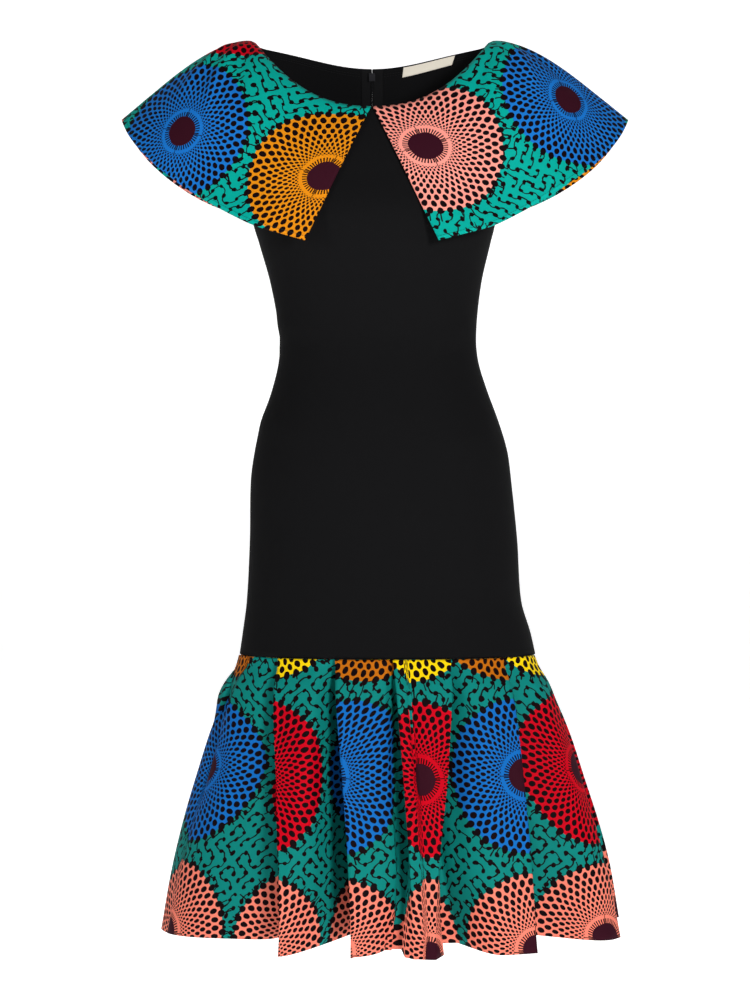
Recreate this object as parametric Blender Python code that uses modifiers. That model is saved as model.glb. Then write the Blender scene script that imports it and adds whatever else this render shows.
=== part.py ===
"""Cape-collar trumpet dress: a black fitted body, a two-part print collar and a pleated print flounce.

The dress keeps the hollow form that it has when it is worn. Metres, +Z up, the front faces -Y.
The origin is midway between the two shoulders, where the wearer holds the dress up.
"""
import bpy
import math
from mathutils import Vector

MM = 0.001

# Cloth walls and the gap that neighbouring pieces keep
BODY_WALL = 1.6 * MM
FLOUNCE_WALL = 1.2 * MM
COLLAR_WALL = 1.0 * MM
SEAM_GAP = 0.3 * MM

# Heights of the main lines
UNDERARM_Z = -165 * MM
FLOUNCE_SEAM_Z = -767 * MM
HEM_Z = -1110 * MM

# Body sections from the flounce seam up to the underarm, in millimetres
BODY_SECTIONS = (
    # z, centre_x, half_width, front_depth, back_depth
    (-767, 19.6, 187.4, 123, 120),
    (-739, 18.4, 182.2, 121, 117),
    (-700, 15.2, 174.0, 118, 113),
    (-624, 14.6, 169.6, 116, 113),
    (-548, 11.4, 165.1, 114, 118),
    (-510, 11.4, 160.0, 112, 114),
    (-472, 10.1, 149.9, 108, 102),
    (-434, 9.5, 136.5, 101, 86),
    (-396, 8.2, 126.4, 94, 73),
    (-362, 7.2, 125.0, 92, 70),
    (-300, 5.0, 133.4, 105, 78),
    (-250, 3.6, 146.0, 124, 85),
    (-215, 2.5, 154.5, 129, 87),
    (-165, 1.0, 151.0, 114, 88),
)
SECTION_ROUNDNESS = 2.3
BODY_ROWS_LOW = 15
BODY_ROWS_YOKE = 7
BODY_COLUMNS_HALF = 13

# Neckline and armhole
NECK_HALF_WIDTH = 148 * MM
NECK_POINT_Z = 4 * MM
NECK_FRONT_DEPTH = 80 * MM
NECK_FRONT_Z = -87 * MM
NECK_BACK_DEPTH = 58 * MM
NECK_BACK_Z = -15 * MM
SHOULDER_END = Vector((182, 0, -6)) * MM
ARMHOLE_SCOOP_IN = 4 * MM
ARMHOLE_SCOOP_DEPTH = 44 * MM
NECK_SHARE = 0.56
SHOULDER_SHARE = 0.68
SHOULDER_HALF_GAP = 1.6 * MM
ARMHOLE_BOTTOM_Z = -150 * MM

# Outer edge of one collar half, in millimetres: from the front corner over the tip to the back corner
COLLAR_EDGE = (
    # share, side_x, y, z
    (0.00, 81, -140, -258),
    (0.05, 114, -138, -249),
    (0.10, 146, -132, -239),
    (0.16, 184, -118, -219),
    (0.22, 218, -108, -199),
    (0.28, 246, -95, -179),
    (0.33, 271, -80, -159),
    (0.38, 292, -62, -138),
    (0.43, 309, -40, -115),
    (0.50, 321, 0, -91),
    (0.57, 309, 40, -114),
    (0.63, 290, 64, -137),
    (0.69, 262, 88, -159),
    (0.76, 226, 108, -179),
    (0.83, 184, 122, -194),
    (0.91, 136, 130, -204),
    (1.00, 64, 134, -211),
)
COLLAR_LEAN_X = 3.8 * MM
COLLAR_COLUMNS = 22
COLLAR_ROWS = 6
COLLAR_LIFT = 18 * MM
COLLAR_LIFT_FRONT = 5 * MM
COLLAR_CENTRE_GAP_FRONT = 1.2 * MM
COLLAR_CENTRE_GAP_BACK = 7 * MM
COLLAR_STAND_OFF = 4 * MM

# Flounce: its plan widens from the seam to the hem, in millimetres
FLOUNCE_PLAN = (
    # drop_share, centre_x, half_width, front_depth, back_depth
    (0.00, 19.6, 187.4, 123, 120),
    (0.04, 20.2, 192.0, 127, 124),
    (0.10, 21.0, 204.0, 136, 133),
    (0.22, 22.2, 219.0, 148, 145),
    (0.40, 23.8, 239.0, 163, 160),
    (0.60, 25.2, 260.0, 177, 175),
    (0.80, 26.2, 277.0, 188, 186),
    (1.00, 26.7, 289.0, 195, 193),
)
# Knife pleats, left to right as seen from that side. A facing of -1 has its crisp edge on the left.
# cloth is where the edge lies along the flat cloth, hidden is how far the cloth turns under it.
FRONT_PLEATS = (
    # facing, cloth, seam_angle, hem_angle, seam_hidden, hem_hidden, ridge, valley
    (-1, -600, -80.0, -82.0, 12, -4, 5, 10),
    (-1, -400, -42.7, -23.8, 50, -6, 24, 20),
    (-1, -185, -16.8, -7.4, 44, 30, 22, 50),
    (-1, -18, 1.2, 4.0, 22, -8, 27, -4),
    (1, 50, 20.7, 6.8, 22, -10, 27, 14),
    (1, 200, 45.9, 31.4, 50, 38, 18, 48),
    (1, 400, 76.0, 67.0, 34, 16, 10, 22),
)
BACK_PLEATS = (
    # facing, cloth, seam_angle, hem_angle, seam_hidden, hem_hidden, ridge, valley
    (-1, -500, -77.0, -79.0, 34, 8, 8, 20),
    (-1, -330, -52.0, -45.0, 44, -4, 20, 24),
    (-1, -170, -29.5, -24.0, 38, 28, 18, 30),
    (-1, -36, -9.5, -5.5, 20, -8, 22, 20),
    (1, 36, 12.0, 8.5, 20, -8, 22, 20),
    (1, 170, 33.0, 28.0, 38, 30, 16, 30),
    (1, 330, 56.0, 51.0, 44, 4, 18, 24),
    (1, 500, 78.0, 80.0, 30, 10, 8, 20),
)
FLOUNCE_ROWS = (0.0, 0.05, 0.14, 0.28, 0.46, 0.64, 0.82, 1.0)
PLEAT_STEPS = 4
PANEL_STEPS = 7
PANEL_COVER_STEPS = 4
PLEAT_LAYER = 2.6 * MM
PLEAT_TOP_OUT = 1.5 * MM
PLEAT_LEAD = 9 * MM
PLEAT_OPEN_BELOW = 12 * MM
PLEAT_SWING = 1.8
PLEAT_OPENING = 0.75
FLOUNCE_TOP_DROP = 0.6 * MM
HEM_DROP_PER_RIDGE = 0.15
SIDE_SEAM_ANGLE = 89.95

# Zip at the centre back
ZIP_BOTTOM_Z = -560 * MM
COIL_BELOW_SLIDER = 2 * MM
TAPE_CLEARANCE = 0.6 * MM
TAPE_WIDTH = 13 * MM
TAPE_WALL = 1.0 * MM
CENTRE_BACK_HALF_GAP = 0.9 * MM
COIL_WIDTH = 2.6 * MM
COIL_WALL = 1.4 * MM
SLIDER_DROP = 9 * MM
SLIDER_WIDTH = 8 * MM
SLIDER_DEPTH = 3 * MM
SLIDER_LENGTH = 10 * MM
SLIDER_NECK_WIDTH = 1 * MM
SLIDER_NECK_HEIGHT = 6.4 * MM
SLIDER_NECK_OUT = 4.2 * MM
EYE_OUT = 2.4 * MM
EYE_DEPTH = 2.2 * MM
EYE_HEIGHT = 4.2 * MM
THROUGH = 4 * MM
PULL_WIDTH = 4.6 * MM
PULL_WALL = 1.1 * MM
PULL_LENGTH = 21 * MM
PULL_ABOVE_HINGE = 0.7 * MM
PULL_WINDOW_WIDTH = 1.8 * MM
PULL_WINDOW_HEIGHT = 5.6 * MM

# Label inside the back neck
LABEL_START_X = 41 * MM
LABEL_END_X = 108 * MM
LABEL_HEIGHT = 13 * MM
LABEL_WALL = 1.0 * MM
LABEL_BELOW_EDGE = 1.5 * MM
LABEL_CLEARANCE = 0.7 * MM
LABEL_STEPS = 8


def lerp(a, b, share):
    return a + (b - a) * share


def smooth(share):
    share = min(max(share, 0.0), 1.0)
    return share * share * (3.0 - 2.0 * share)


def read_table(table, key):
    """Read a table's columns at a key, on a smooth curve through its rows."""
    rows = sorted(table)
    key = min(max(key, rows[0][0]), rows[-1][0])
    place = max(i for i in range(len(rows) - 1) if rows[i][0] <= key)
    low, high = rows[place], rows[place + 1]
    before = rows[max(place - 1, 0)]
    after = rows[min(place + 2, len(rows) - 1)]
    span = high[0] - low[0]
    share = (key - low[0]) / span
    values = []
    for column in range(1, len(low)):
        slope_low = (high[column] - before[column]) / (high[0] - before[0]) * span
        slope_high = (after[column] - low[column]) / (after[0] - low[0]) * span
        s2, s3 = share ** 2, share ** 3
        values.append((2 * s3 - 3 * s2 + 1) * low[column] + (s3 - 2 * s2 + share) * slope_low
                      + (3 * s2 - 2 * s3) * high[column] + (s3 - s2) * slope_high)
    return values


def rounded(value):
    """Superellipse share of a sine or cosine, which squares an ellipse up a little."""
    return math.copysign(abs(value) ** (2.0 / SECTION_ROUNDNESS), value)


def section_point(z, angle, side):
    """A point of the body below the underarm. side is -1 on the front and 1 on the back."""
    centre, half, front, back = (v * MM for v in read_table(BODY_SECTIONS, z / MM))
    depth = front if side < 0 else back
    return Vector((centre + half * rounded(math.sin(angle)), side * depth * rounded(math.cos(angle)), z))


def neck_point(x, side):
    """A point of the neckline at a distance x from the middle."""
    share = min(abs(x) / NECK_HALF_WIDTH, 1.0)
    round_share = math.sqrt(max(1.0 - share ** 2, 0.0))
    if side < 0:
        return Vector((x, -NECK_FRONT_DEPTH * round_share,
                       NECK_FRONT_Z + (NECK_POINT_Z - NECK_FRONT_Z) * share ** 2.4))
    rise = (1.0 - math.cos(math.pi * share)) / 2.0
    return Vector((x, NECK_BACK_DEPTH * round_share, NECK_BACK_Z + (NECK_POINT_Z - NECK_BACK_Z) * rise))


def top_edge_point(share, side):
    """The top edge of a body panel from the middle (0) along neck, shoulder and armhole to 1 or -1."""
    hand = -1.0 if share < 0 else 1.0
    along = abs(share)
    if along <= NECK_SHARE:
        turn = along / NECK_SHARE * math.pi / 2.0
        point = neck_point(hand * NECK_HALF_WIDTH * math.sin(turn), side)
        point.y += side * SHOULDER_HALF_GAP * (along / NECK_SHARE) ** 4
        return point
    neck_end = Vector((NECK_HALF_WIDTH, 0, NECK_POINT_Z))
    gap = SHOULDER_HALF_GAP
    if along <= SHOULDER_SHARE:
        point = neck_end.lerp(SHOULDER_END, (along - NECK_SHARE) / (SHOULDER_SHARE - NECK_SHARE))
    else:
        down = (along - SHOULDER_SHARE) / (1.0 - SHOULDER_SHARE)
        underarm = section_point(UNDERARM_Z, math.radians(SIDE_SEAM_ANGLE), side)
        underarm.z = ARMHOLE_BOTTOM_Z
        point = SHOULDER_END.lerp(underarm, down)
        point.x -= ARMHOLE_SCOOP_IN * math.sin(math.pi * down)
        point.y += side * ARMHOLE_SCOOP_DEPTH * math.sin(math.pi * down)
        gap *= 1.0 - 0.5 * down
    return Vector((hand * point.x, point.y + side * gap, point.z))


def body_grid(side, start, end, columns, centre_gap):
    """Rows of points of a body panel from the flounce seam to the top edge, from share start to end."""
    rows = []
    shares = [lerp(start, end, c / columns) for c in range(columns + 1)]
    angle_limit = math.radians(SIDE_SEAM_ANGLE)
    low_end = FLOUNCE_SEAM_Z + SEAM_GAP / 2
    for r in range(BODY_ROWS_LOW + 1):
        z = lerp(low_end, UNDERARM_Z, r / BODY_ROWS_LOW)
        rows.append([section_point(z, share * angle_limit, side) for share in shares])
    for r in range(1, BODY_ROWS_YOKE + 1):
        v = r / BODY_ROWS_YOKE
        row = []
        for share in shares:
            foot = section_point(UNDERARM_Z, share * angle_limit, side)
            below = section_point(UNDERARM_Z - 5 * MM, share * angle_limit, side)
            head = top_edge_point(share, side)
            rise = (foot - below) / (5 * MM)
            pull = foot + rise * (head.z - foot.z) * 0.45
            row.append(foot * (1 - v) ** 2 + pull * 2 * v * (1 - v) + head * v ** 2)
        rows.append(row)
    if centre_gap:
        hand = 1.0 if start + end > 0 else -1.0
        middle = 0 if abs(start) < abs(end) else columns
        for row in rows:
            row[middle].x += hand * centre_gap
    return rows


def material(name, colour, roughness, metallic=0.0):
    finish = bpy.data.materials.new(name)
    finish.use_nodes = True
    shader = finish.node_tree.nodes["Principled BSDF"]
    shader.inputs["Base Color"].default_value = (*colour, 1.0)
    shader.inputs["Roughness"].default_value = roughness
    shader.inputs["Metallic"].default_value = metallic
    finish.diffuse_color = (*colour, 1.0)
    return finish


def sheet(name, rows, wall, finish, offset=0.0, even=True):
    """A cloth piece: an open grid of points, given its wall by Solidify.

    offset -1 keeps the wall inside the points. even keeps its thickness in sharp folds.
    """
    columns = len(rows[0])
    points = [point for row in rows for point in row]
    faces = [(r * columns + c, r * columns + c + 1, (r + 1) * columns + c + 1, (r + 1) * columns + c)
             for r in range(len(rows) - 1) for c in range(columns - 1)]
    mesh = bpy.data.meshes.new(name)
    mesh.from_pydata(points, [], faces)
    mesh.materials.append(finish)
    piece = bpy.data.objects.new(name, mesh)
    collection.objects.link(piece)
    solid = piece.modifiers.new("Wall", "SOLIDIFY")
    solid.thickness = wall
    solid.offset = offset
    solid.use_even_offset = even
    mesh.shade_smooth()
    return piece


def make_body():
    front = body_grid(-1, -1.0, 1.0, 2 * BODY_COLUMNS_HALF, 0.0)
    sheet("body_front", front, BODY_WALL, black_crepe, -1.0, even=False)
    halves = (("body_back_left", -1.0, 0.0), ("body_back_right", 0.0, 1.0))
    for name, start, end in halves:
        rows = body_grid(1, start, end, BODY_COLUMNS_HALF, CENTRE_BACK_HALF_GAP)
        sheet(name, [list(reversed(row)) for row in rows], BODY_WALL, black_crepe, -1.0, even=False)


def collar_point(hand, share, out):
    """A point of a collar half: share runs from front to back, out from the neckline to the edge."""
    turn = (1.0 - abs(2.0 * share - 1.0)) * math.pi / 2.0
    side = -1 if share <= 0.5 else 1
    neck = neck_point(NECK_HALF_WIDTH * math.sin(turn), side)
    neck.x += (COLLAR_CENTRE_GAP_FRONT if side < 0 else COLLAR_CENTRE_GAP_BACK) * math.cos(turn)
    spread = Vector((0.25 * math.sin(turn), side * math.cos(turn), math.sin(turn))).normalized()
    start = neck + spread * 2.6 * MM
    side_x, y, z = (v * MM for v in read_table(COLLAR_EDGE, share))
    end = Vector((side_x, y, z))
    lift = lerp(COLLAR_LIFT_FRONT, COLLAR_LIFT, math.sin(turn) ** 1.5)
    point = start.lerp(end, out) + spread * lift * math.sin(math.pi * out ** 0.66)
    point += Vector((0, side * COLLAR_STAND_OFF * math.sin(math.pi * min(out * 1.4, 1.0)), 0))
    return Vector((hand * point.x + COLLAR_LEAN_X * out * math.sin(turn), point.y, point.z))


def make_collars():
    names = (("collar_left", "under_collar_left", -1), ("collar_right", "under_collar_right", 1))
    for upper, under, hand in names:
        rows = [[collar_point(hand, c / COLLAR_COLUMNS, r / COLLAR_ROWS)
                 for c in range(COLLAR_COLUMNS + 1)] for r in range(COLLAR_ROWS + 1)]
        if hand < 0:
            rows = [list(reversed(row)) for row in rows]
        rows.reverse()
        sheet(upper, rows, COLLAR_WALL, wax_print, 1.0)
        lower = sheet(under, rows, COLLAR_WALL + SEAM_GAP, wax_print, -1.0)
        bpy.context.view_layer.update()
        pull_under(lower)


def pull_under(piece):
    """Move an under collar inward by the seam gap, so that it lies clear below its upper collar."""
    mesh = piece.data
    normals = [v.normal.copy() for v in mesh.vertices]
    for vertex, normal in zip(mesh.vertices, normals):
        vertex.co -= normal * SEAM_GAP
    piece.modifiers["Wall"].thickness = COLLAR_WALL


def pleat_folds(pleats, drop):
    """Each pleat at one height: its edge and its layers, with lengths turned into degrees of the plan."""
    centre, half, front, back = (v * MM for v in read_table(FLOUNCE_PLAN, drop))
    degrees = math.degrees(1.0) / ((half + front) / 2.0)
    opened = drop ** PLEAT_OPENING
    folds = []
    for facing, cloth, seam_angle, hem_angle, seam_hidden, hem_hidden, ridge, valley in pleats:
        top = lerp(PLEAT_TOP_OUT, ridge * MM, opened)
        bottom = lerp(PLEAT_TOP_OUT - 2 * PLEAT_LAYER, -valley * MM, opened)
        hidden = lerp(seam_hidden, hem_hidden, drop ** 0.9) * MM
        folds.append({
            "facing": facing,
            "cloth": cloth,
            "under": seam_hidden,
            "angle": lerp(seam_angle, hem_angle, 1.0 - (1.0 - drop) ** PLEAT_SWING),
            "hidden": hidden * degrees,
            "top": top,
            "middle": top - max(PLEAT_LAYER, (top - bottom) * lerp(0.5, 0.4, opened)),
            "bottom": bottom,
            "lead": PLEAT_LEAD * opened * degrees,
            "open": smooth(1.0 - hidden / PLEAT_OPEN_BELOW),
        })
    return folds


def fold_start(fold):
    """Where the bottom layer begins: below the crisp edge, or beside it once the pleat has opened."""
    return fold["angle"] - fold["facing"] * (2.0 * min(fold["hidden"], 0.0) - fold["lead"])


def under_fold(fold):
    """The layers turned under one pleat, from the start of the bottom layer to the crisp edge."""
    facing, hidden = fold["facing"], fold["hidden"]
    opened_by = min(hidden, 0.0)
    points = []
    for k in range(PLEAT_STEPS + 1):
        share = k / PLEAT_STEPS
        angle = fold["angle"] - facing * lerp(2.0 * opened_by - fold["lead"], hidden, share)
        points.append((angle, fold["bottom"], fold["cloth"] + facing * fold["under"] * (2 - share)))
    for k in range(PLEAT_STEPS + 1):
        share = k / PLEAT_STEPS
        angle = fold["angle"] - facing * lerp(max(hidden, opened_by * 0.8), opened_by * 0.2, share)
        rise = share * 0.7 * fold["open"]
        points.append((angle, lerp(fold["middle"], fold["top"], rise),
                       fold["cloth"] + facing * fold["under"] * (1 - share)))
    points.append((fold["angle"], fold["top"], fold["cloth"]))
    return points


def panel(fold, after):
    """The stretch that shows between two crisp edges: level over hidden layers, sloping elsewhere."""
    start = fold["angle"] if fold["facing"] < 0 else fold_start(fold)
    end = after["angle"] if after["facing"] > 0 else fold_start(after)
    width = end - start
    cover_start = max(fold["hidden"], 0.0) / width if fold["facing"] < 0 else 0.0
    cover_end = max(after["hidden"], 0.0) / width if after["facing"] > 0 else 0.0
    out_start = fold["top"] if fold["facing"] < 0 else fold["bottom"]
    out_end = after["top"] if after["facing"] > 0 else after["bottom"]
    cloth_start = fold["cloth"] + (2 * fold["under"] if fold["facing"] > 0 else 0)
    cloth_end = after["cloth"] - (2 * after["under"] if after["facing"] < 0 else 0)
    free = max(1.0 - cover_start - cover_end, 0.08)
    points = []
    for k in range(1, PANEL_STEPS):
        even = k / PANEL_STEPS
        share = even
        if fold["facing"] == after["facing"]:
            cover = max(cover_start, cover_end)
            tight = even / PANEL_COVER_STEPS * PANEL_STEPS * cover
            if even * PANEL_STEPS > PANEL_COVER_STEPS:
                rest = (k - PANEL_COVER_STEPS) / (PANEL_STEPS - PANEL_COVER_STEPS)
                tight = lerp(cover, 1.0, rest)
            share = lerp(even, tight, smooth((cover - 0.3) / 0.4))
            share = 1.0 - share if cover_end > cover_start else share
        points.append(share)
    points.sort()
    result = []
    for share in points:
        slope = smooth((share - cover_start) / free)
        result.append((lerp(start, end, share), lerp(out_start, out_end, slope),
                       lerp(cloth_start, cloth_end, share)))
    return result


def pleat_path(pleats, drop):
    """The flounce in plan at one height: (angle in degrees, distance out, place along the cloth)."""
    folds = pleat_folds(pleats, drop)
    path = []
    first, last = folds[0], folds[-1]
    path.append((-SIDE_SEAM_ANGLE, first["bottom"] * 0.6, first["cloth"] - 2 * first["under"] - 20))
    for index, fold in enumerate(folds):
        path += under_fold(fold) if fold["facing"] < 0 else list(reversed(under_fold(fold)))
        if index + 1 < len(folds):
            path += panel(fold, folds[index + 1])
    path.append((SIDE_SEAM_ANGLE, last["bottom"] * 0.6, last["cloth"] + 2 * last["under"] + 20))
    return path


def flounce_rows(pleats, side):
    """Rows of points of one flounce panel from the hem up to the seam."""
    rows = []
    for drop in reversed(FLOUNCE_ROWS):
        centre, half, front, back = (v * MM for v in read_table(FLOUNCE_PLAN, drop))
        depth = front if side < 0 else back
        row = []
        for angle, out, cloth in pleat_path(pleats, drop):
            turn = math.radians(angle)
            sine, cosine = rounded(math.sin(turn)), rounded(math.cos(turn))
            normal = Vector((sine / half, cosine / depth, 0)).normalized()
            x = half * sine + normal.x * out
            y = depth * cosine + normal.y * out
            z = lerp(FLOUNCE_SEAM_Z - FLOUNCE_TOP_DROP, HEM_Z - HEM_DROP_PER_RIDGE * out, drop)
            row.append(Vector((centre - side * x, side * y, z)))
        rows.append(row)
    return rows


def make_flounce():
    sheet("flounce_front", flounce_rows(FRONT_PLEATS, -1), FLOUNCE_WALL, wax_print)
    sheet("flounce_back", flounce_rows(BACK_PLEATS, 1), FLOUNCE_WALL, wax_print)


def back_facet(hand, x, z):
    """A point on the back's outer face, a distance x from the centre-back seam, on the cloth's own facets."""
    rows = body_grid(1, 0.0, float(hand), BODY_COLUMNS_HALF, 0.0)
    line = []
    for row in rows:
        width = abs(row[1].x - row[0].x)
        line.append(row[0].lerp(row[1], x / width))
    for low, high in zip(line, line[1:]):
        if low.z <= z <= high.z:
            return low.lerp(high, (z - low.z) / (high.z - low.z))
    raise ValueError("height off the back")


def centre_back(z):
    """The back's outer face at the centre-back seam, and the ways down and out of it there."""
    point = back_facet(1, 0.0, z)
    down = back_facet(1, 0.0, z - 8 * MM) - back_facet(1, 0.0, z + 4 * MM)
    down.x = 0.0
    down.normalize()
    return point, down, Vector((0, -down.z, down.y))


def strip_rows(hand, near_x, far_x, inward, top_z, bottom_z):
    """A narrow strip inside the centre-back seam, with a row wherever the back panel has one."""
    rows = body_grid(1, 0.0, float(hand), BODY_COLUMNS_HALF, 0.0)
    heights = [bottom_z] + [row[0].z for row in rows if bottom_z + MM < row[0].z < top_z - MM] + [top_z]
    strip = []
    for z in heights:
        row = []
        for x in (near_x, far_x):
            point = back_facet(hand, abs(x), z)
            low = back_facet(hand, abs(x), max(z - 3 * MM, FLOUNCE_SEAM_Z + MM))
            high = back_facet(hand, abs(x), min(z + 3 * MM, NECK_BACK_Z - 0.1 * MM))
            slope = (high - low).normalized()
            out = Vector((0, slope.z, -slope.y))
            if x < 0 < hand:
                point.x -= 2 * abs(x)
            row.append(point - out * inward)
        strip.append(row)
    return strip


def add_box(name, centre, size, axes, finish, bevel=0.0):
    """A block at a place, its X, Y and Z turned along the three given axes."""
    bpy.ops.mesh.primitive_cube_add(size=1.0)
    block = bpy.context.object
    block.name = name
    for vertex in block.data.vertices:
        x, y, z = (vertex.co[i] * size[i] for i in range(3))
        vertex.co = centre + axes[0] * x + axes[1] * y + axes[2] * z
    block.data.materials.append(finish)
    if bevel:
        edge = block.modifiers.new("Edge", "BEVEL")
        edge.width = bevel
        edge.segments = 1
    move_to(block, collection)
    return block


def move_to(piece, target):
    for owner in list(piece.users_collection):
        owner.objects.unlink(piece)
    target.objects.link(piece)


def boolean(piece, tool, operation):
    step = piece.modifiers.new(operation, "BOOLEAN")
    step.operation = operation
    step.object = tool
    tool.hide_render = True
    tool.display_type = "WIRE"
    move_to(tool, cutters)


def make_zip():
    top_z = NECK_BACK_Z - 2 * MM
    tape_inward = BODY_WALL + TAPE_CLEARANCE
    edge = CENTRE_BACK_HALF_GAP
    for name, hand in (("zip_tape_left", -1), ("zip_tape_right", 1)):
        rows = strip_rows(hand, edge, edge + TAPE_WIDTH, tape_inward, top_z, ZIP_BOTTOM_Z)
        if hand > 0:
            rows = [list(reversed(row)) for row in rows]
        sheet(name, rows, TAPE_WALL, zip_tape, -1.0)
    point, down, out = centre_back(NECK_BACK_Z - SLIDER_DROP)
    coil_top = NECK_BACK_Z - SLIDER_DROP - SLIDER_LENGTH / 2 - COIL_BELOW_SLIDER
    coil_inward = tape_inward + TAPE_WALL + TAPE_CLEARANCE
    coil_bottom = ZIP_BOTTOM_Z + COIL_BELOW_SLIDER
    coil = strip_rows(1, COIL_WIDTH / 2, -COIL_WIDTH / 2, coil_inward, coil_top, coil_bottom)
    sheet("zip_coil", coil, COIL_WALL, zip_coil, -1.0)
    across = Vector((-1, 0, 0))
    axes = (across, out, down)
    plate_in = coil_inward + SLIDER_DEPTH / 2
    plate_size = (SLIDER_WIDTH, SLIDER_DEPTH, SLIDER_LENGTH)
    slider = add_box("zip_slider", point - out * plate_in, plate_size, axes, zip_metal)
    neck_size = (SLIDER_NECK_WIDTH, plate_in + SLIDER_NECK_OUT, SLIDER_NECK_HEIGHT)
    neck_centre = point + out * (SLIDER_NECK_OUT - plate_in) / 2
    neck = add_box("slider_neck", neck_centre, neck_size, axes, zip_metal)
    boolean(slider, neck, "UNION")
    hinge = point + out * EYE_OUT
    eye = add_box("slider_eye", hinge, (THROUGH, EYE_DEPTH, EYE_HEIGHT), axes, zip_metal)
    boolean(slider, eye, "DIFFERENCE")
    tab_centre = hinge + down * (PULL_LENGTH / 2 - PULL_ABOVE_HINGE)
    tab = add_box("zip_pull", tab_centre, (PULL_WIDTH, PULL_WALL, PULL_LENGTH), axes, zip_metal)
    window_centre = hinge + down * (PULL_ABOVE_HINGE + PULL_WINDOW_HEIGHT / 2)
    window_size = (PULL_WINDOW_WIDTH, THROUGH, PULL_WINDOW_HEIGHT)
    window = add_box("pull_window", window_centre, window_size, axes, zip_metal)
    boolean(tab, window, "DIFFERENCE")
    for vertex in tab.data.vertices:
        vertex.co -= hinge
    tab.location = hinge


def make_label():
    """The label lies inside the right back panel, just below its top edge."""
    rows = body_grid(1, 0.0, 1.0, BODY_COLUMNS_HALF, 0.0)
    top, under = rows[-1], rows[-3]
    heights = (LABEL_BELOW_EDGE + LABEL_HEIGHT, LABEL_BELOW_EDGE)
    strip = []
    for below in heights:
        row = []
        for k in range(LABEL_STEPS + 1):
            x = lerp(LABEL_END_X, LABEL_START_X, k / LABEL_STEPS)
            column = max(c for c in range(len(top) - 1) if top[c].x <= x)
            share = (x - top[column].x) / (top[column + 1].x - top[column].x)
            head = top[column].lerp(top[column + 1], share)
            foot = under[column].lerp(under[column + 1], share)
            across = (top[column + 1] - top[column]).normalized()
            slope = (foot - head).normalized()
            inward = across.cross(slope).normalized()
            if inward.y > 0:
                inward.negate()
            row.append(head + slope * below + inward * (BODY_WALL + LABEL_CLEARANCE))
        strip.append(row)
    sheet("label", strip, LABEL_WALL, label_cloth, -1.0)


for thing in list(bpy.data.objects):
    bpy.data.objects.remove(thing, do_unlink=True)
collection = bpy.data.collections.new("cape_collar_dress")
cutters = bpy.data.collections.new("cutters")
bpy.context.scene.collection.children.link(collection)
bpy.context.scene.collection.children.link(cutters)

black_crepe = material("black_crepe", (0.010, 0.010, 0.011), 0.85)
wax_print = material("wax_print", (0.0, 0.30, 0.27), 0.75)
zip_tape = material("zip_tape", (0.012, 0.012, 0.013), 0.9)
zip_coil = material("zip_coil", (0.015, 0.015, 0.016), 0.45)
zip_metal = material("zip_metal", (0.05, 0.05, 0.055), 0.35, 0.8)
label_cloth = material("label_cloth", (0.72, 0.66, 0.58), 0.8)

make_body()
make_collars()
make_flounce()
make_zip()
make_label()
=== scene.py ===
# %% [markdown]
# # A trumpet dress with a cape collar
#
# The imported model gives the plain, hard form of a dress: a black fitted body, a wide collar in
# two halves, a pleated flounce, and a zip at the centre back. This script keeps those sizes and
# makes each piece of cloth again with a finer surface, creases, print and sewing.

# %% Load the frame
import bpy
import math
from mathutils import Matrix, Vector


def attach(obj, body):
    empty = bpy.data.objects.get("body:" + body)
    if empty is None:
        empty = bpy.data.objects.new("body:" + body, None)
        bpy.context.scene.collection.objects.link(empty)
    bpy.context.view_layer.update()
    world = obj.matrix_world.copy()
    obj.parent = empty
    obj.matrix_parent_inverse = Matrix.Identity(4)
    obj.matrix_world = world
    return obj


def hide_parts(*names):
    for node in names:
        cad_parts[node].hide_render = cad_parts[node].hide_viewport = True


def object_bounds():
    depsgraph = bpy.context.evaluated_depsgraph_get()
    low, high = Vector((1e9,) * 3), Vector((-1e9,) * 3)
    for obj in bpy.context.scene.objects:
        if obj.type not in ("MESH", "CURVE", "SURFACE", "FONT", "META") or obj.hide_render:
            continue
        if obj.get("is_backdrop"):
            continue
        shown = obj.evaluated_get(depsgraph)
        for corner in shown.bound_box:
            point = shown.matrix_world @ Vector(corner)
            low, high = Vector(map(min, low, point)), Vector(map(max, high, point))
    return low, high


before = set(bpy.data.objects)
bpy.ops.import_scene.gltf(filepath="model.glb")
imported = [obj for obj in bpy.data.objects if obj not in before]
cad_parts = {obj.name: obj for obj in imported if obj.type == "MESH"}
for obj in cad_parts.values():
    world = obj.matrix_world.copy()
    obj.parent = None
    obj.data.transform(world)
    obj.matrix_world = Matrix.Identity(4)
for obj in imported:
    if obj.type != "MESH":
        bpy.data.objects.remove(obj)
cad_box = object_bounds()
MM = 0.001
bpy.ops.object.select_all(action="DESELECT")
print("frame", [[round(v, 3) for v in corner] for corner in cad_box])


# %% [markdown]
# ## Camera, floor and light
#
# The dress stands straight in front of the camera, three metres away. The main lamp stands in
# front of it, a little to the right. A weak lamp fills in from the left and one lights the back.
# A white floor curves up into a white wall.

# %% Place the camera
CAMERA_PLACE = (3.8 * MM, -3.0, -572.8 * MM)
VIEW_HEIGHT = 1.27
SENSOR_HEIGHT = 36.0

bpy.ops.object.camera_add(location=CAMERA_PLACE, rotation=(math.pi / 2, 0, 0))
camera = bpy.context.object
camera.name = "camera"
camera.data.sensor_fit = "VERTICAL"
camera.data.sensor_height = SENSOR_HEIGHT
camera.data.lens = SENSOR_HEIGHT * -CAMERA_PLACE[1] / VIEW_HEIGHT
bpy.context.scene.camera = camera


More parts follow.
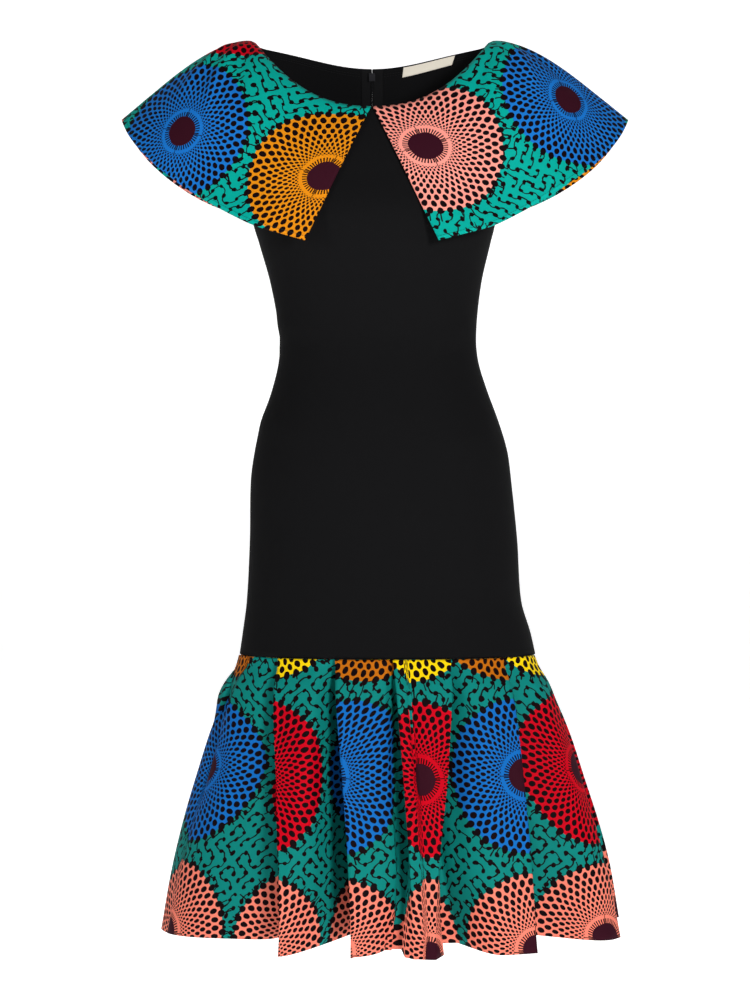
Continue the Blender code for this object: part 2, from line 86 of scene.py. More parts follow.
# %% Name colours as they look on a screen, and make finishes
def screen_colour(red, green, blue):
    """Turns 0 to 255 screen values into the linear values that shaders use."""
    linear = []
    for value in (red, green, blue):
        share = value / 255.0
        linear.append(share / 12.92 if share <= 0.04045 else ((share + 0.055) / 1.055) ** 2.4)
    return (*linear, 1.0)


def new_finish(name, **settings):
    """A material and its shader, with these settings; a setting's _ stands for a space."""
    finish = bpy.data.materials.new(name)
    finish.use_nodes = True
    shader = finish.node_tree.nodes["Principled BSDF"]
    for setting, value in settings.items():
        shader.inputs[setting.replace("_", " ")].default_value = value
    return finish, shader


# %% Build the floor and the wall behind
FLOOR_Z = -1.56
WALL_Y = 8.0
FLOOR_HALF = 14.0
COVE_RADIUS = 1.4
COVE_SEGMENTS = 24

bpy.ops.mesh.primitive_plane_add(size=2 * FLOOR_HALF, location=(0, WALL_Y - FLOOR_HALF, FLOOR_Z))
floor = bpy.context.object
floor.name = "studio_floor"
bpy.ops.object.mode_set(mode="EDIT")
bpy.ops.mesh.select_mode(type="EDGE")
bpy.ops.mesh.select_all(action="DESELECT")
bpy.ops.object.mode_set(mode="OBJECT")
for edge in floor.data.edges:
    edge.select = all(floor.data.vertices[v].co.y > 0 for v in edge.vertices)
bpy.ops.object.mode_set(mode="EDIT")
bpy.ops.mesh.extrude_region_move(TRANSFORM_OT_translate={"value": (0, 0, 2 * FLOOR_HALF)})
bpy.ops.object.mode_set(mode="OBJECT")
cove = floor.modifiers.new("Cove", "BEVEL")
cove.width = COVE_RADIUS
cove.segments = COVE_SEGMENTS
bpy.ops.object.modifier_apply(modifier="Cove")
bpy.ops.object.shade_smooth()
studio_white, _ = new_finish(
    "studio_white", Base_Color=(0.92, 0.92, 0.92, 1.0), Roughness=0.9,
    Emission_Color=(1.0, 1.0, 1.0, 1.0), Emission_Strength=0.62)
floor.data.materials.append(studio_white)
floor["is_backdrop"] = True

# %% Hang the lamps
LAMPS = (
    # name, place, size, watts
    ("left_lamp", (-2.4, -2.0, 0.2), 0.7, 20),
    ("key_lamp", (1.1, -2.8, 0.0), 0.5, 66),
    ("back_lamp", (0.6, 3.4, 0.5), 1.0, 34),
)
AIM = Vector((0, 0, -0.55))

for name, place, size, watts in LAMPS:
    bpy.ops.object.light_add(type="AREA", location=place)
    lamp = bpy.context.object
    lamp.name = name
    lamp.data.shape = "SQUARE"
    lamp.data.size = size
    lamp.data.energy = watts
    lamp.rotation_euler = (AIM - Vector(place)).to_track_quat("-Z", "Y").to_euler()
sky = bpy.data.worlds.new("studio")
sky.use_nodes = True
sky.node_tree.nodes["Background"].inputs["Color"].default_value = (1, 1, 1, 1)
sky.node_tree.nodes["Background"].inputs["Strength"].default_value = 0.10
bpy.context.scene.world = sky
bpy.context.scene.view_settings.view_transform = "Standard"
bpy.context.scene.view_settings.look = "None"
print("camera lens", round(camera.data.lens, 1), "lamps", len(LAMPS))


# %% [markdown]
# ## Node helpers
#
# A shader's maths is a chain of small nodes. Adding each node by its full name makes long code.
# Here a value knows its node group, and a sum with it adds the node, so that the print below
# reads like sums on paper.

# %% Make small helpers for shader maths
class Value:
    """A socket's value. Sums with it add the maths nodes that work them out."""

    def __init__(self, chain, socket):
        self.chain = chain
        self.socket = socket

    def __add__(self, other):
        return self.chain.maths("ADD", self, other)

    def __sub__(self, other):
        return self.chain.maths("SUBTRACT", self, other)

    def __rsub__(self, other):
        return self.chain.maths("SUBTRACT", other, self)

    def __mul__(self, other):
        return self.chain.maths("MULTIPLY", self, other)

    def __truediv__(self, other):
        return self.chain.maths("DIVIDE", self, other)

    def __pow__(self, other):
        return self.chain.maths("POWER", self, other)

    def __mod__(self, other):
        return self.chain.maths("FLOORED_MODULO", self, other)

    def __gt__(self, other):
        return self.chain.maths("GREATER_THAN", self, other)

    def __lt__(self, other):
        return self.chain.maths("LESS_THAN", self, other)

    def __abs__(self):
        return self.chain.maths("ABSOLUTE", self)


class Chain:
    """A node group with named inputs and one output, which is filled with one node after another."""

    def __init__(self, name, inputs, output, output_kind):
        self.tree = bpy.data.node_groups.new(name, "ShaderNodeTree")
        self.count = 0
        sockets = self.tree.interface
        for label, kind, value in inputs:
            socket = sockets.new_socket(label, in_out="INPUT", socket_type="NodeSocket" + kind)
            if value is not None:
                socket.default_value = value
        sockets.new_socket(output, in_out="OUTPUT", socket_type="NodeSocket" + output_kind)
        self.given = self.node("NodeGroupInput")
        self.result = self.node("NodeGroupOutput")

    def node(self, kind):
        """A new node, placed in columns so that the editor stays readable."""
        made = self.tree.nodes.new(kind)
        made.location = (180 * (self.count // 6), -160 * (self.count % 6))
        self.count += 1
        return made

    def plug(self, socket, value):
        """Joins a value to a socket, or sets a plain number or colour on it."""
        if isinstance(value, Value):
            self.tree.links.new(value.socket, socket)
        else:
            socket.default_value = value

    def read(self, label):
        """One of the group's own inputs."""
        return Value(self, self.given.outputs[label])

    def finish(self, value):
        """Gives the group its output, and hands the whole group back."""
        self.plug(self.result.inputs[0], value)
        return self.tree

    def maths(self, operation, *values):
        made = self.node("ShaderNodeMath")
        made.operation = operation
        for socket, value in zip(made.inputs, values):
            self.plug(socket, value)
        return Value(self, made.outputs[0])

    def choose(self, mask, when_off, when_on):
        """One of two colours, by a mask of 0 or 1."""
        made = self.node("ShaderNodeMix")
        made.data_type = "RGBA"
        self.plug(made.inputs["Factor"], mask)
        self.plug(made.inputs["A"], when_off)
        self.plug(made.inputs["B"], when_on)
        return Value(self, made.outputs["Result"])

    def noise(self, vector, scale, detail, output):
        made = self.node("ShaderNodeTexNoise")
        self.plug(made.inputs["Scale"], scale)
        self.plug(made.inputs["Detail"], detail)
        self.plug(made.inputs["Vector"], vector)
        return Value(self, made.outputs[output])

    def split(self, vector):
        """The x and the y of a vector."""
        made = self.node("ShaderNodeSeparateXYZ")
        self.plug(made.inputs[0], vector)
        return Value(self, made.outputs[0]), Value(self, made.outputs[1])

    def random_value(self, x, y):
        """A random share of 1 that stays the same for the same x and y."""
        place = self.node("ShaderNodeCombineXYZ")
        self.plug(place.inputs[0], x)
        self.plug(place.inputs[1], y)
        made = self.node("ShaderNodeTexWhiteNoise")
        made.noise_dimensions = "2D"
        self.plug(made.inputs["Vector"], Value(self, place.outputs[0]))
        return Value(self, made.outputs["Value"])


# %% [markdown]
# ## The wax print
#
# The cotton is printed with rows of big sun-like medallions. Each has a dark heart with a fringe
# of short lashes, a plain ring, and then rings of dark ovals that grow outward. Between them the
# ground is teal, covered with dark dots that short bent lines join. Drawing it with maths keeps
# it sharp at any size and lets it follow the flat cloth, because it reads the piece's own map.

# %% Name the print's sizes in millimetres, and its colours
HEART_RADIUS = 19.5
LASHES = 44
LASH_LENGTH = 6.0
PLAIN_RING_RADIUS = 30.0
MEDALLION_RADIUS = 97.0
COLOUR_RADIUS = 92.0
OVALS_ROUND = 47
OVAL_RINGS = 11
RING_GROWTH = 0.6
TAIL_LENGTH = 11.0
DOT_CELL = 17.0
DOT_RADIUS = 0.17
LINE_HALF_WIDTH = 0.05
LINES_LEFT_OUT = 0.32
TAIL_HALF_WIDTH = 0.06
OVAL_HALF_LENGTH = 0.49
OVAL_HALF_WIDTH = 0.27
OVAL_WIDENS = 0.06
GROUND_BEND = 10.0
WOBBLE = 5.0
INK = screen_colour(14, 3, 6)
HEART_INK = screen_colour(48, 10, 24)
FULL_TURN = 2 * math.pi
PALETTE = (
    # the input's name, its first colour
    ("Ground", screen_colour(8, 122, 114)),
    ("Even Top", screen_colour(238, 202, 8)),
    ("Even Middle", screen_colour(190, 0, 24)),
    ("Even Bottom", screen_colour(230, 124, 104)),
    ("Odd Top", screen_colour(184, 100, 12)),
    ("Odd Middle", screen_colour(16, 100, 178)),
    ("Odd Bottom", screen_colour(230, 124, 104)),
)
print("medallions are", 2 * MEDALLION_RADIUS, "mm wide, with", OVALS_ROUND * OVAL_RINGS, "ovals each")


# %% Draw the print as a node group
def draw_wax_print():
    """The print's colour from a place on the flat cloth, given in millimetres."""
    inputs = [("Cloth", "Vector", None), ("Row Height", "Float", None), ("Column Width", "Float", None)]
    inputs += [(name, "Color", colour) for name, colour in PALETTE]
    chain = Chain("wax_print_pattern", inputs, "Color", "Color")

    def lesser(a, b):
        return chain.maths("MINIMUM", a, b)

    def greater(a, b):
        return chain.maths("MAXIMUM", a, b)

    def whole(a):
        return chain.maths("FLOOR", a)

    def part(a):
        return chain.maths("FRACT", a)

    def distance(a, b):
        return chain.maths("SQRT", a * a + b * b)

    # Where the place lies in its medallion's own cell
    cloth = chain.read("Cloth")
    row_height, column_width = chain.read("Row Height"), chain.read("Column Width")
    wobble_x, wobble_y = chain.split(chain.noise(cloth, 0.045, 2.0, "Color"))
    cloth_x, cloth_y = chain.split(cloth)
    x = cloth_x + (wobble_x - 0.5) * WOBBLE
    y = cloth_y + (wobble_y - 0.5) * WOBBLE
    column = chain.maths("ROUND", x / column_width)
    row = chain.maths("ROUND", y / row_height)
    across = x - column * column_width
    down = y - row * row_height
    radius = distance(across, down)
    turn = chain.maths("ARCTAN2", down, across) / FULL_TURN

    # The colour of each medallion, by its row and column
    row_kind = row % 3.0
    is_middle = chain.maths("COMPARE", row_kind, 1.0, 0.4)
    is_bottom = chain.maths("COMPARE", row_kind, 2.0, 0.4)
    petals = []
    for kind in ("Even", "Odd"):
        petal = chain.choose(is_middle, chain.read(kind + " Top"), chain.read(kind + " Middle"))
        petals.append(chain.choose(is_bottom, petal, chain.read(kind + " Bottom")))
    petal = chain.choose(column % 2.0, *petals)

    # Rings of ovals, each ring turned by half an oval
    span = (radius - PLAIN_RING_RADIUS) / (MEDALLION_RADIUS - PLAIN_RING_RADIUS)
    ring_place = greater(span, 0.0) ** RING_GROWTH * OVAL_RINGS
    ring = whole(ring_place)
    along = part(ring_place) - 0.5
    beside = part(turn * OVALS_ROUND + ring % 2.0 * 0.5) - 0.5
    half_width = lesser(span, 1.0) * OVAL_WIDENS + OVAL_HALF_WIDTH
    oval = abs(along / OVAL_HALF_LENGTH) ** 2.0 + abs(beside / half_width) ** 2.0 < 1.0
    oval = oval * (radius > PLAIN_RING_RADIUS) * (ring < OVAL_RINGS - 0.5)

    # The heart with its lashes, and the fine cross through it
    lash = chain.maths("PINGPONG", turn * (2.0 * LASHES), 1.0)
    fringe = radius < (lash > 0.5) * LASH_LENGTH + HEART_RADIUS
    nearest = lesser(abs(across), abs(down))
    cross = (nearest < 0.5) * (radius < PLAIN_RING_RADIUS + 1.0)
    inked = chain.choose(greater(oval, greater(fringe, cross)), petal, INK)
    inked = chain.choose(radius < HEART_RADIUS, inked, HEART_INK)
    inside = greater(oval, radius < COLOUR_RADIUS)

    # The ground: each square cell has two arcs, turned one way or the other, and dots where they end
    bend_x, bend_y = chain.split(chain.noise(cloth, 0.05, 1.0, "Color"))
    cell_x = (x + bend_x * GROUND_BEND) / DOT_CELL
    cell_y = (y + bend_y * GROUND_BEND) / DOT_CELL
    flip = chain.random_value(whole(cell_x), whole(cell_y)) > 0.5
    in_x, in_y = abs(part(cell_x) - flip), part(cell_y)
    back_x, back_y = 1.0 - in_x, 1.0 - in_y
    mid_x, mid_y = in_x - 0.5, in_y - 0.5
    arc_low = abs(distance(in_x, in_y) - 0.5)
    arc_high = abs(distance(back_x, back_y) - 0.5)
    left_out = chain.random_value(whole(cell_y), whole(cell_x)) > 1.0 - LINES_LEFT_OUT
    lines = lesser(arc_low + left_out, arc_high) < LINE_HALF_WIDTH
    side_dots = lesser(distance(in_x, mid_y), distance(back_x, mid_y))
    end_dots = lesser(distance(mid_x, in_y), distance(mid_x, back_y))
    dots = lesser(side_dots, end_dots) < DOT_RADIUS

    # Short tails that run from the medallion's rim into the ground
    tail_place = turn * OVALS_ROUND
    tail_random = chain.random_value(whole(tail_place), row)
    tail_end = chain.maths("MULTIPLY_ADD", tail_random, TAIL_LENGTH, MEDALLION_RADIUS)
    tail = chain.maths("COMPARE", part(tail_place), 0.5, TAIL_HALF_WIDTH) * (radius < tail_end)
    ground_ink = greater(greater(lines, dots), tail)
    ground = chain.choose(ground_ink, chain.read("Ground"), INK)
    return chain.finish(chain.choose(inside, ground, inked))


wax_print_pattern = draw_wax_print()
print("print pattern nodes", len(wax_print_pattern.nodes))


# %% [markdown]
# ## Cloth finishes
#
# The body is a plain matt black crepe, which shows hardly any shine. The print is a smooth
# cotton. A very fine bump stands for the weave. The bump reads object coordinates, so that it
# stays on the cloth when the camera moves.

# %% Mix the weave bump that the cloths share
def draw_weave():
    """A fine uneven height, like the yarns of a cloth, over a slow crinkle."""
    inputs = [(name, "Float", None) for name in ("Fineness", "Crinkle")]
    chain = Chain("weave_height", inputs, "Height", "Float")
    place = Value(chain, chain.node("ShaderNodeTexCoord").outputs["Object"])
    yarn = chain.noise(place, chain.read("Fineness"), 2.0, "Fac")
    crinkle = chain.noise(place, 38.0, 3.0, "Fac")
    return chain.finish(yarn + crinkle * chain.read("Crinkle"))


weave_height = draw_weave()


# %% Make the plain finishes
CLOTH_SPECULAR = 0.06
CRINKLE = 0.6


def cloth_finish(name, colour, roughness, fineness=1400.0, depth=0.25):
    """A cloth material with its weave bump; its colour is set on the shader's own socket."""
    finish, shader = new_finish(
        name, Base_Color=colour, Roughness=roughness, Specular_IOR_Level=CLOTH_SPECULAR)
    tree = finish.node_tree
    weave = tree.nodes.new("ShaderNodeGroup")
    weave.node_tree = weave_height
    weave.inputs["Fineness"].default_value = fineness
    weave.inputs["Crinkle"].default_value = CRINKLE
    weave.location = (-500, -300)
    bump = tree.nodes.new("ShaderNodeBump")
    bump.inputs["Strength"].default_value = depth
    bump.inputs["Distance"].default_value = 0.4 * MM
    bump.location = (-250, -300)
    tree.links.new(weave.outputs["Height"], bump.inputs["Height"])
    tree.links.new(bump.outputs["Normal"], shader.inputs["Normal"])
    return finish


black_crepe = cloth_finish("black_crepe_cloth", screen_colour(15, 15, 16), 0.92)
black_thread = cloth_finish("black_thread", screen_colour(30, 30, 31), 0.7)
collar_thread = cloth_finish("collar_thread", screen_colour(20, 60, 56), 0.7)
tape_weave = cloth_finish("zip_tape_weave", screen_colour(20, 20, 21), 0.85, fineness=2600.0)
label_satin = cloth_finish("label_satin", screen_colour(232, 224, 208), 0.55)
pink_roll = cloth_finish("pink_neck_roll", screen_colour(206, 148, 132), 0.8)
coil_plastic = cloth_finish("coil_plastic", screen_colour(26, 26, 28), 0.4, depth=0.0)


def print_finish(name, row_height, column_width, **changes):
    """The wax print on one piece: rows this far apart, and any colours that differ there."""
    finish = cloth_finish(name, screen_colour(0, 150, 138), 0.72)
    tree = finish.node_tree
    cloth_map = tree.nodes.new("ShaderNodeUVMap")
    cloth_map.uv_map = "cloth"
    cloth_map.location = (-1000, 100)
    to_mm = tree.nodes.new("ShaderNodeVectorMath")
    to_mm.operation = "SCALE"
    to_mm.inputs["Scale"].default_value = MAP_SPAN
    to_mm.location = (-800, 100)
    pattern = tree.nodes.new("ShaderNodeGroup")
    pattern.node_tree = wax_print_pattern
    pattern.location = (-500, 100)
    pattern.inputs["Row Height"].default_value = row_height
    pattern.inputs["Column Width"].default_value = column_width
    for socket, colour in changes.items():
        pattern.inputs[socket.replace("_", " ")].default_value = colour
    tree.links.new(cloth_map.outputs["UV"], to_mm.inputs[0])
    tree.links.new(to_mm.outputs[0], pattern.inputs["Cloth"])
    tree.links.new(pattern.outputs["Color"], tree.nodes["Principled BSDF"].inputs["Base Color"])
    return finish


MAP_SPAN = 1000.0
FLOUNCE_ROW_HEIGHT = 208.0
COLLAR_ROW_HEIGHT = 203.5
FLOUNCE_COLUMN_WIDTH = 200.0
COLLAR_COLUMN_WIDTHS = {"left": 205.0, "right": 221.0}
flounce_print = print_finish("wax_print_flounce", FLOUNCE_ROW_HEIGHT, FLOUNCE_COLUMN_WIDTH)
collar_prints = {}
for side, column_width in COLLAR_COLUMN_WIDTHS.items():
    collar_prints[side] = print_finish(
        "wax_print_collar_" + side, COLLAR_ROW_HEIGHT, column_width, Ground=screen_colour(0, 156, 142),
        Odd_Top=screen_colour(214, 130, 14), Odd_Middle=screen_colour(22, 108, 190),
        Even_Bottom=screen_colour(238, 146, 132), Odd_Bottom=screen_colour(238, 146, 132))
print("finishes", len(bpy.data.materials))


# %% [markdown]
# ## From a flat grid to cloth
#
# A pattern piece is a flat shape, so a grid of points suits it: rows run along the piece, and
# each point also knows its place on the flat cloth. Creases are added as soft ridges, each from
# one place to another on that flat cloth. Solidify then gives the cloth its thickness.

# %% Make the cloth helpers
CREASE_REACH = 9.0
CREASE_RISES_IN = 0.2
CREASE_FALLS_IN = 0.45


def mix(a, b, share):
    """The value a share of the way from a to b."""
    return a + (b - a) * share


def smooth(share):
    """A share from 0 to 1 that starts and ends gently."""
    share = min(max(share, 0.0), 1.0)
    return share * share * (3.0 - 2.0 * share)


def crease_height(creases, x, y):
    """The height of all creases at one place on the flat cloth, in millimetres."""
    height = 0.0
    for from_x, from_y, to_x, to_y, width, rise in creases:
        run_x, run_y = to_x - from_x, to_y - from_y
        length_squared = run_x * run_x + run_y * run_y
        share = ((x - from_x) * run_x + (y - from_y) * run_y) / length_squared
        near = min(max(share, 0.0), 1.0)
        off_x = x - from_x - run_x * near
        off_y = y - from_y - run_y * near
        away = (off_x * off_x + off_y * off_y) / (width * width)
        if away < CREASE_REACH:
            fade = smooth(near / CREASE_RISES_IN) * smooth((1.0 - near) / CREASE_FALLS_IN)
            height += rise * math.exp(-away) * fade
    return height


def lay_cloth(name, rows, wall, finish, offset=-1.0, creases=(), even=True, inward=0.0, swell=None):
    """A cloth piece from rows of places: (point, flat x, flat y), the flat ones in millimetres.

    A place may say more about itself for the swell, which gives a further rise at each place.
    """
    columns = len(rows[0])
    flat = [place for row in rows for place in row]
    faces = [(r * columns + c, r * columns + c + 1, (r + 1) * columns + c + 1, (r + 1) * columns + c)
             for r in range(len(rows) - 1) for c in range(columns - 1)]
    mesh = bpy.data.meshes.new(name)
    mesh.from_pydata([place[0] for place in flat], [], faces)
    cloth_map = mesh.uv_layers.new(name="cloth")
    for loop in mesh.loops:
        place = flat[loop.vertex_index]
        cloth_map.data[loop.index].uv = (place[1] / MAP_SPAN, place[2] / MAP_SPAN)
    normals = [vertex.normal.copy() for vertex in mesh.vertices]
    for vertex, normal, place in zip(mesh.vertices, normals, flat):
        rise = crease_height(creases, place[1], place[2])
        if swell:
            rise += swell(*place)
        vertex.co += normal * (rise * MM - inward)
    mesh.materials.append(finish)
    piece = bpy.data.objects.new(name, mesh)
    bpy.context.scene.collection.objects.link(piece)
    solid = piece.modifiers.new("Wall", "SOLIDIFY")
    solid.thickness = wall
    solid.offset = offset
    solid.use_even_offset = even
    mesh.shade_smooth()
    area = sum(polygon.area for polygon in mesh.polygons)
    print(name, "area", round(area, 3), "m2,", len(mesh.polygons), "quads")
    return piece


def sew_on(piece, node):
    """Hides the CAD node that a piece stands for, if one is given, and makes the piece move with the
    dress.
    """
    if node:
        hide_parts(node)
    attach(piece, "dress")


# %% Read a table on a smooth curve
def read_table(table, key):
    """A table's columns at a key; the curve passes through every row without a corner."""
    rows = sorted(table)
    key = min(max(key, rows[0][0]), rows[-1][0])
    place = max(i for i in range(len(rows) - 1) if rows[i][0] <= key)
    low, high = rows[place], rows[place + 1]
    before, after = rows[max(place - 1, 0)], rows[min(place + 2, len(rows) - 1)]
    span = high[0] - low[0]
    share = (key - low[0]) / span
    s2, s3 = share ** 2, share ** 3
    values = []
    for column in range(1, len(low)):
        slope_low = (high[column] - before[column]) / (high[0] - before[0]) * span
        slope_high = (after[column] - low[column]) / (after[0] - low[0]) * span
        values.append((2 * s3 - 3 * s2 + 1) * low[column] + (s3 - 2 * s2 + share) * slope_low
                      + (3 * s2 - 2 * s3) * high[column] + (s3 - s2) * slope_high)
    return values


# %% [markdown]
# ## The black body
#
# The body is one front panel and two back panels, which follow the bust, waist and hips. The
# panels are shaped from sections at a few heights, the same ones as the solid model has.

# %% Shape the body panels
UNDERARM_Z = -165 * MM
WAIST_Z = -362 * MM
BODY_SECTIONS = (
    # z, centre_x, half_width, front_depth, back_depth
    (-767, 19.6, 187.4, 123, 120),
    (-739, 18.4, 182.2, 121, 117),
    (-700, 15.2, 174.0, 118, 113),
    (-624, 14.6, 169.6, 116, 113),
    (-548, 11.4, 165.1, 114, 118),
    (-510, 11.4, 160.0, 112, 114),
    (-472, 10.1, 149.9, 108, 102),
    (-434, 9.5, 136.5, 101, 86),
    (-396, 8.2, 126.4, 94, 73),
    (-362, 7.2, 125.0, 92, 70),
    (-300, 5.0, 133.4, 105, 78),
    (-250, 3.6, 146.0, 124, 85),
    (-215, 2.5, 154.5, 129, 87),
    (-165, 1.0, 151.0, 114, 88),
)
SECTION_ROUNDNESS = 2.3


def rounded(value):
    """Superellipse share of a sine or cosine, which squares an ellipse up a little."""
    return math.copysign(abs(value) ** (2.0 / SECTION_ROUNDNESS), value)


def section_point(z, angle, side):
    """A point of the body below the underarm. side is -1 on the front and 1 on the back."""
    centre, half, front, back = (v * MM for v in read_table(BODY_SECTIONS, z / MM))
    y = side * (front if side < 0 else back) * rounded(math.cos(angle))
    return Vector((centre + half * rounded(math.sin(angle)), y, z))


print("side of the waist", [round(v, 3) for v in section_point(WAIST_Z, math.pi / 2, 1)])


# %% Draw the neckline and the top edge
NECK_HALF_WIDTH = 148 * MM
NECK_POINT_Z = 4 * MM
NECK_FRONT_DEPTH = 80 * MM
NECK_FRONT_Z = -87 * MM
NECK_FRONT_CURVE = 2.4
NECK_BACK_DEPTH = 58 * MM
NECK_BACK_Z = -15 * MM
NECK_SHARE = 0.56
SHOULDER_SHARE = 0.68
SHOULDER_END = Vector((182, 0, -6)) * MM
SHOULDER_HALF_GAP = 1.6 * MM
ARMHOLE_SCOOP_IN = 4 * MM
ARMHOLE_SCOOP_DEPTH = 44 * MM
ARMHOLE_BOTTOM_Z = -150 * MM
SIDE_SEAM_ANGLE = 89.99


def neck_point(x, side):
    """A point of the neckline at a distance x from the middle."""
    share = min(abs(x) / NECK_HALF_WIDTH, 1.0)
    round_share = math.sqrt(max(1.0 - share ** 2, 0.0))
    if side < 0:
        z = mix(NECK_FRONT_Z, NECK_POINT_Z, share ** NECK_FRONT_CURVE)
        return Vector((x, -NECK_FRONT_DEPTH * round_share, z))
    z = mix(NECK_BACK_Z, NECK_POINT_Z, (1.0 - math.cos(math.pi * share)) / 2.0)
    return Vector((x, NECK_BACK_DEPTH * round_share, z))


def top_edge_point(share, side):
    """The top edge of a body panel, from the middle (0) along neck, shoulder and armhole to 1 or -1."""
    hand = -1.0 if share < 0 else 1.0
    along = abs(share)
    if along <= NECK_SHARE:
        turn = along / NECK_SHARE * math.pi / 2.0
        point = neck_point(hand * NECK_HALF_WIDTH * math.sin(turn), side)
        point.y += side * SHOULDER_HALF_GAP * (along / NECK_SHARE) ** 4
        return point
    gap = SHOULDER_HALF_GAP
    if along <= SHOULDER_SHARE:
        neck_end = Vector((NECK_HALF_WIDTH, 0, NECK_POINT_Z))
        point = neck_end.lerp(SHOULDER_END, (along - NECK_SHARE) / (SHOULDER_SHARE - NECK_SHARE))
    else:
        down = (along - SHOULDER_SHARE) / (1.0 - SHOULDER_SHARE)
        underarm = section_point(UNDERARM_Z, math.radians(SIDE_SEAM_ANGLE), side)
        underarm.z = ARMHOLE_BOTTOM_Z
        point = SHOULDER_END.lerp(underarm, down)
        point.x -= ARMHOLE_SCOOP_IN * math.sin(math.pi * down)
        point.y += side * ARMHOLE_SCOOP_DEPTH * math.sin(math.pi * down)
        gap *= 1.0 - 0.5 * down
    return Vector((hand * point.x, point.y + side * gap, point.z))


print("middle of the neckline", [round(v, 3) for v in neck_point(0.0, -1)])


# %% Lay out the body's rows of points
FLOUNCE_SEAM_Z = -767 * MM
SEAM_GAP = 0.3 * MM
BODY_ROWS_LOW = 90
BODY_ROWS_YOKE = 36
YOKE_STEP = 5 * MM
YOKE_PULL = 0.45


def body_rows(side, start, end, columns, centre_gap):
    """Rows of a body panel from the flounce seam to the top edge, from share start to end."""
    rows = []
    shares = [mix(start, end, c / columns) for c in range(columns + 1)]
    limit = math.radians(SIDE_SEAM_ANGLE)
    low_end = FLOUNCE_SEAM_Z + SEAM_GAP / 2
    for r in range(BODY_ROWS_LOW + 1):
        z = mix(low_end, UNDERARM_Z, r / BODY_ROWS_LOW)
        rows.append([section_point(z, share * limit, side) for share in shares])
    # Above the underarm each column is a curve that leaves the body smoothly and ends on the edge
    for r in range(1, BODY_ROWS_YOKE + 1):
        v = r / BODY_ROWS_YOKE
        row = []
        for share in shares:
            foot = section_point(UNDERARM_Z, share * limit, side)
            below = section_point(UNDERARM_Z - YOKE_STEP, share * limit, side)
            head = top_edge_point(share, side)
            pull = foot + (foot - below) / YOKE_STEP * (head.z - foot.z) * YOKE_PULL
            row.append(foot * (1 - v) ** 2 + pull * 2 * v * (1 - v) + head * v ** 2)
        rows.append(row)
    hand = 1.0 if start + end > 0 else -1.0
    middle = 0 if abs(start) < abs(end) else columns
    if centre_gap:
        for row in rows:
            row[middle].x += hand * centre_gap
    return [[(point, point.x / MM, point.z / MM) for point in row] for row in rows]


# %% Crease and lay the body panels
BODY_WALL = 1.6 * MM
BODY_COLUMNS_HALF = 52
CENTRE_BACK_HALF_GAP = 0.9 * MM
FRONT_CREASES = (
    # from x, from z, to x, to z, width, rise (mm): drag lines at waist, bust side and hip
    (-128, -345, -40, -372, 9, 1.6),
    (-126, -372, -52, -384, 8, -1.4),
    (132, -352, 58, -380, 9, 1.5),
    (130, -384, 70, -392, 7, -1.3),
    (-140, -262, -70, -232, 12, 1.5),
    (148, -258, 88, -226, 12, 1.3),
    (-150, -470, -60, -500, 14, 1.5),
    (160, -480, 74, -516, 14, 1.4),
    (-30, -560, -16, -730, 16, 1.2),
    (62, -590, 70, -745, 18, -1.2),
    (-110, -600, -122, -740, 16, 1.1),
    (128, -610, 146, -742, 14, 1.0),
    (-150, -70, -118, -130, 7, 1.6),
    (150, -74, 122, -134, 7, 1.4),
)
BACK_CREASES = (
    # from x, from z, to x, to z, width, rise (mm)
    (-126, -350, -30, -368, 9, -1.7),
    (-124, -378, -24, -392, 8, 1.9),
    (132, -346, 44, -366, 9, 1.7),
    (130, -376, 36, -396, 9, -1.6),
    (-110, -405, -40, -424, 10, 1.4),
    (116, -412, 48, -430, 10, 1.5),
    (-138, -250, -64, -214, 12, 1.4),
    (144, -246, 78, -210, 11, 1.5),
    (-60, -600, -74, -742, 16, -1.2),
    (84, -580, 96, -744, 15, 1.2),
    (-140, -76, -104, -140, 8, 1.5),
    (142, -72, 108, -136, 8, 1.6),
)

body_front = lay_cloth(
    "body_front_cloth", body_rows(-1, -1.0, 1.0, 2 * BODY_COLUMNS_HALF, 0.0),
    BODY_WALL, black_crepe, creases=FRONT_CREASES, even=False)
sew_on(body_front, "body_front")
for side, start, end in (("left", -1.0, 0.0), ("right", 0.0, 1.0)):
    rows = [row[::-1] for row in body_rows(1, start, end, BODY_COLUMNS_HALF, CENTRE_BACK_HALF_GAP)]
    back = lay_cloth("body_back_" + side + "_cloth", rows, BODY_WALL, black_crepe,
                     creases=BACK_CREASES, even=False)
    sew_on(back, "body_back_" + side)


# %% [markdown]
# ## The cape collar
#
# Each half is cut as a sector of a ring, so that the print turns with it over the shoulder. The
# lower cloth is the same shape, a hair's breadth below. Creases run out from the shoulder, where
# the cloth turns over, and the outer edge hangs in a slow wave.

# %% Shape the collar halves
COLLAR_EDGE = (
    # share, side_x, y, z
    (0.00, 81, -140, -258),
    (0.05, 114, -138, -249),
    (0.10, 146, -132, -239),
    (0.16, 184, -118, -219),
    (0.22, 218, -108, -199),
    (0.28, 246, -95, -179),
    (0.33, 271, -80, -159),
    (0.38, 292, -62, -138),
    (0.43, 309, -40, -115),
    (0.50, 321, 0, -91),
    (0.57, 309, 40, -114),
    (0.63, 290, 64, -137),
    (0.69, 262, 88, -159),
    (0.76, 226, 108, -179),
    (0.83, 184, 122, -194),
    (0.91, 136, 130, -204),
    (1.00, 64, 134, -211),
)
COLLAR_LEAN_X = 3.8 * MM
COLLAR_COLUMNS = 132
COLLAR_ROWS = 40
COLLAR_LIFT = 18 * MM
COLLAR_LIFT_FRONT = 5 * MM
COLLAR_CENTRE_GAP_FRONT = 1.2 * MM
COLLAR_CENTRE_GAP_BACK = 7 * MM
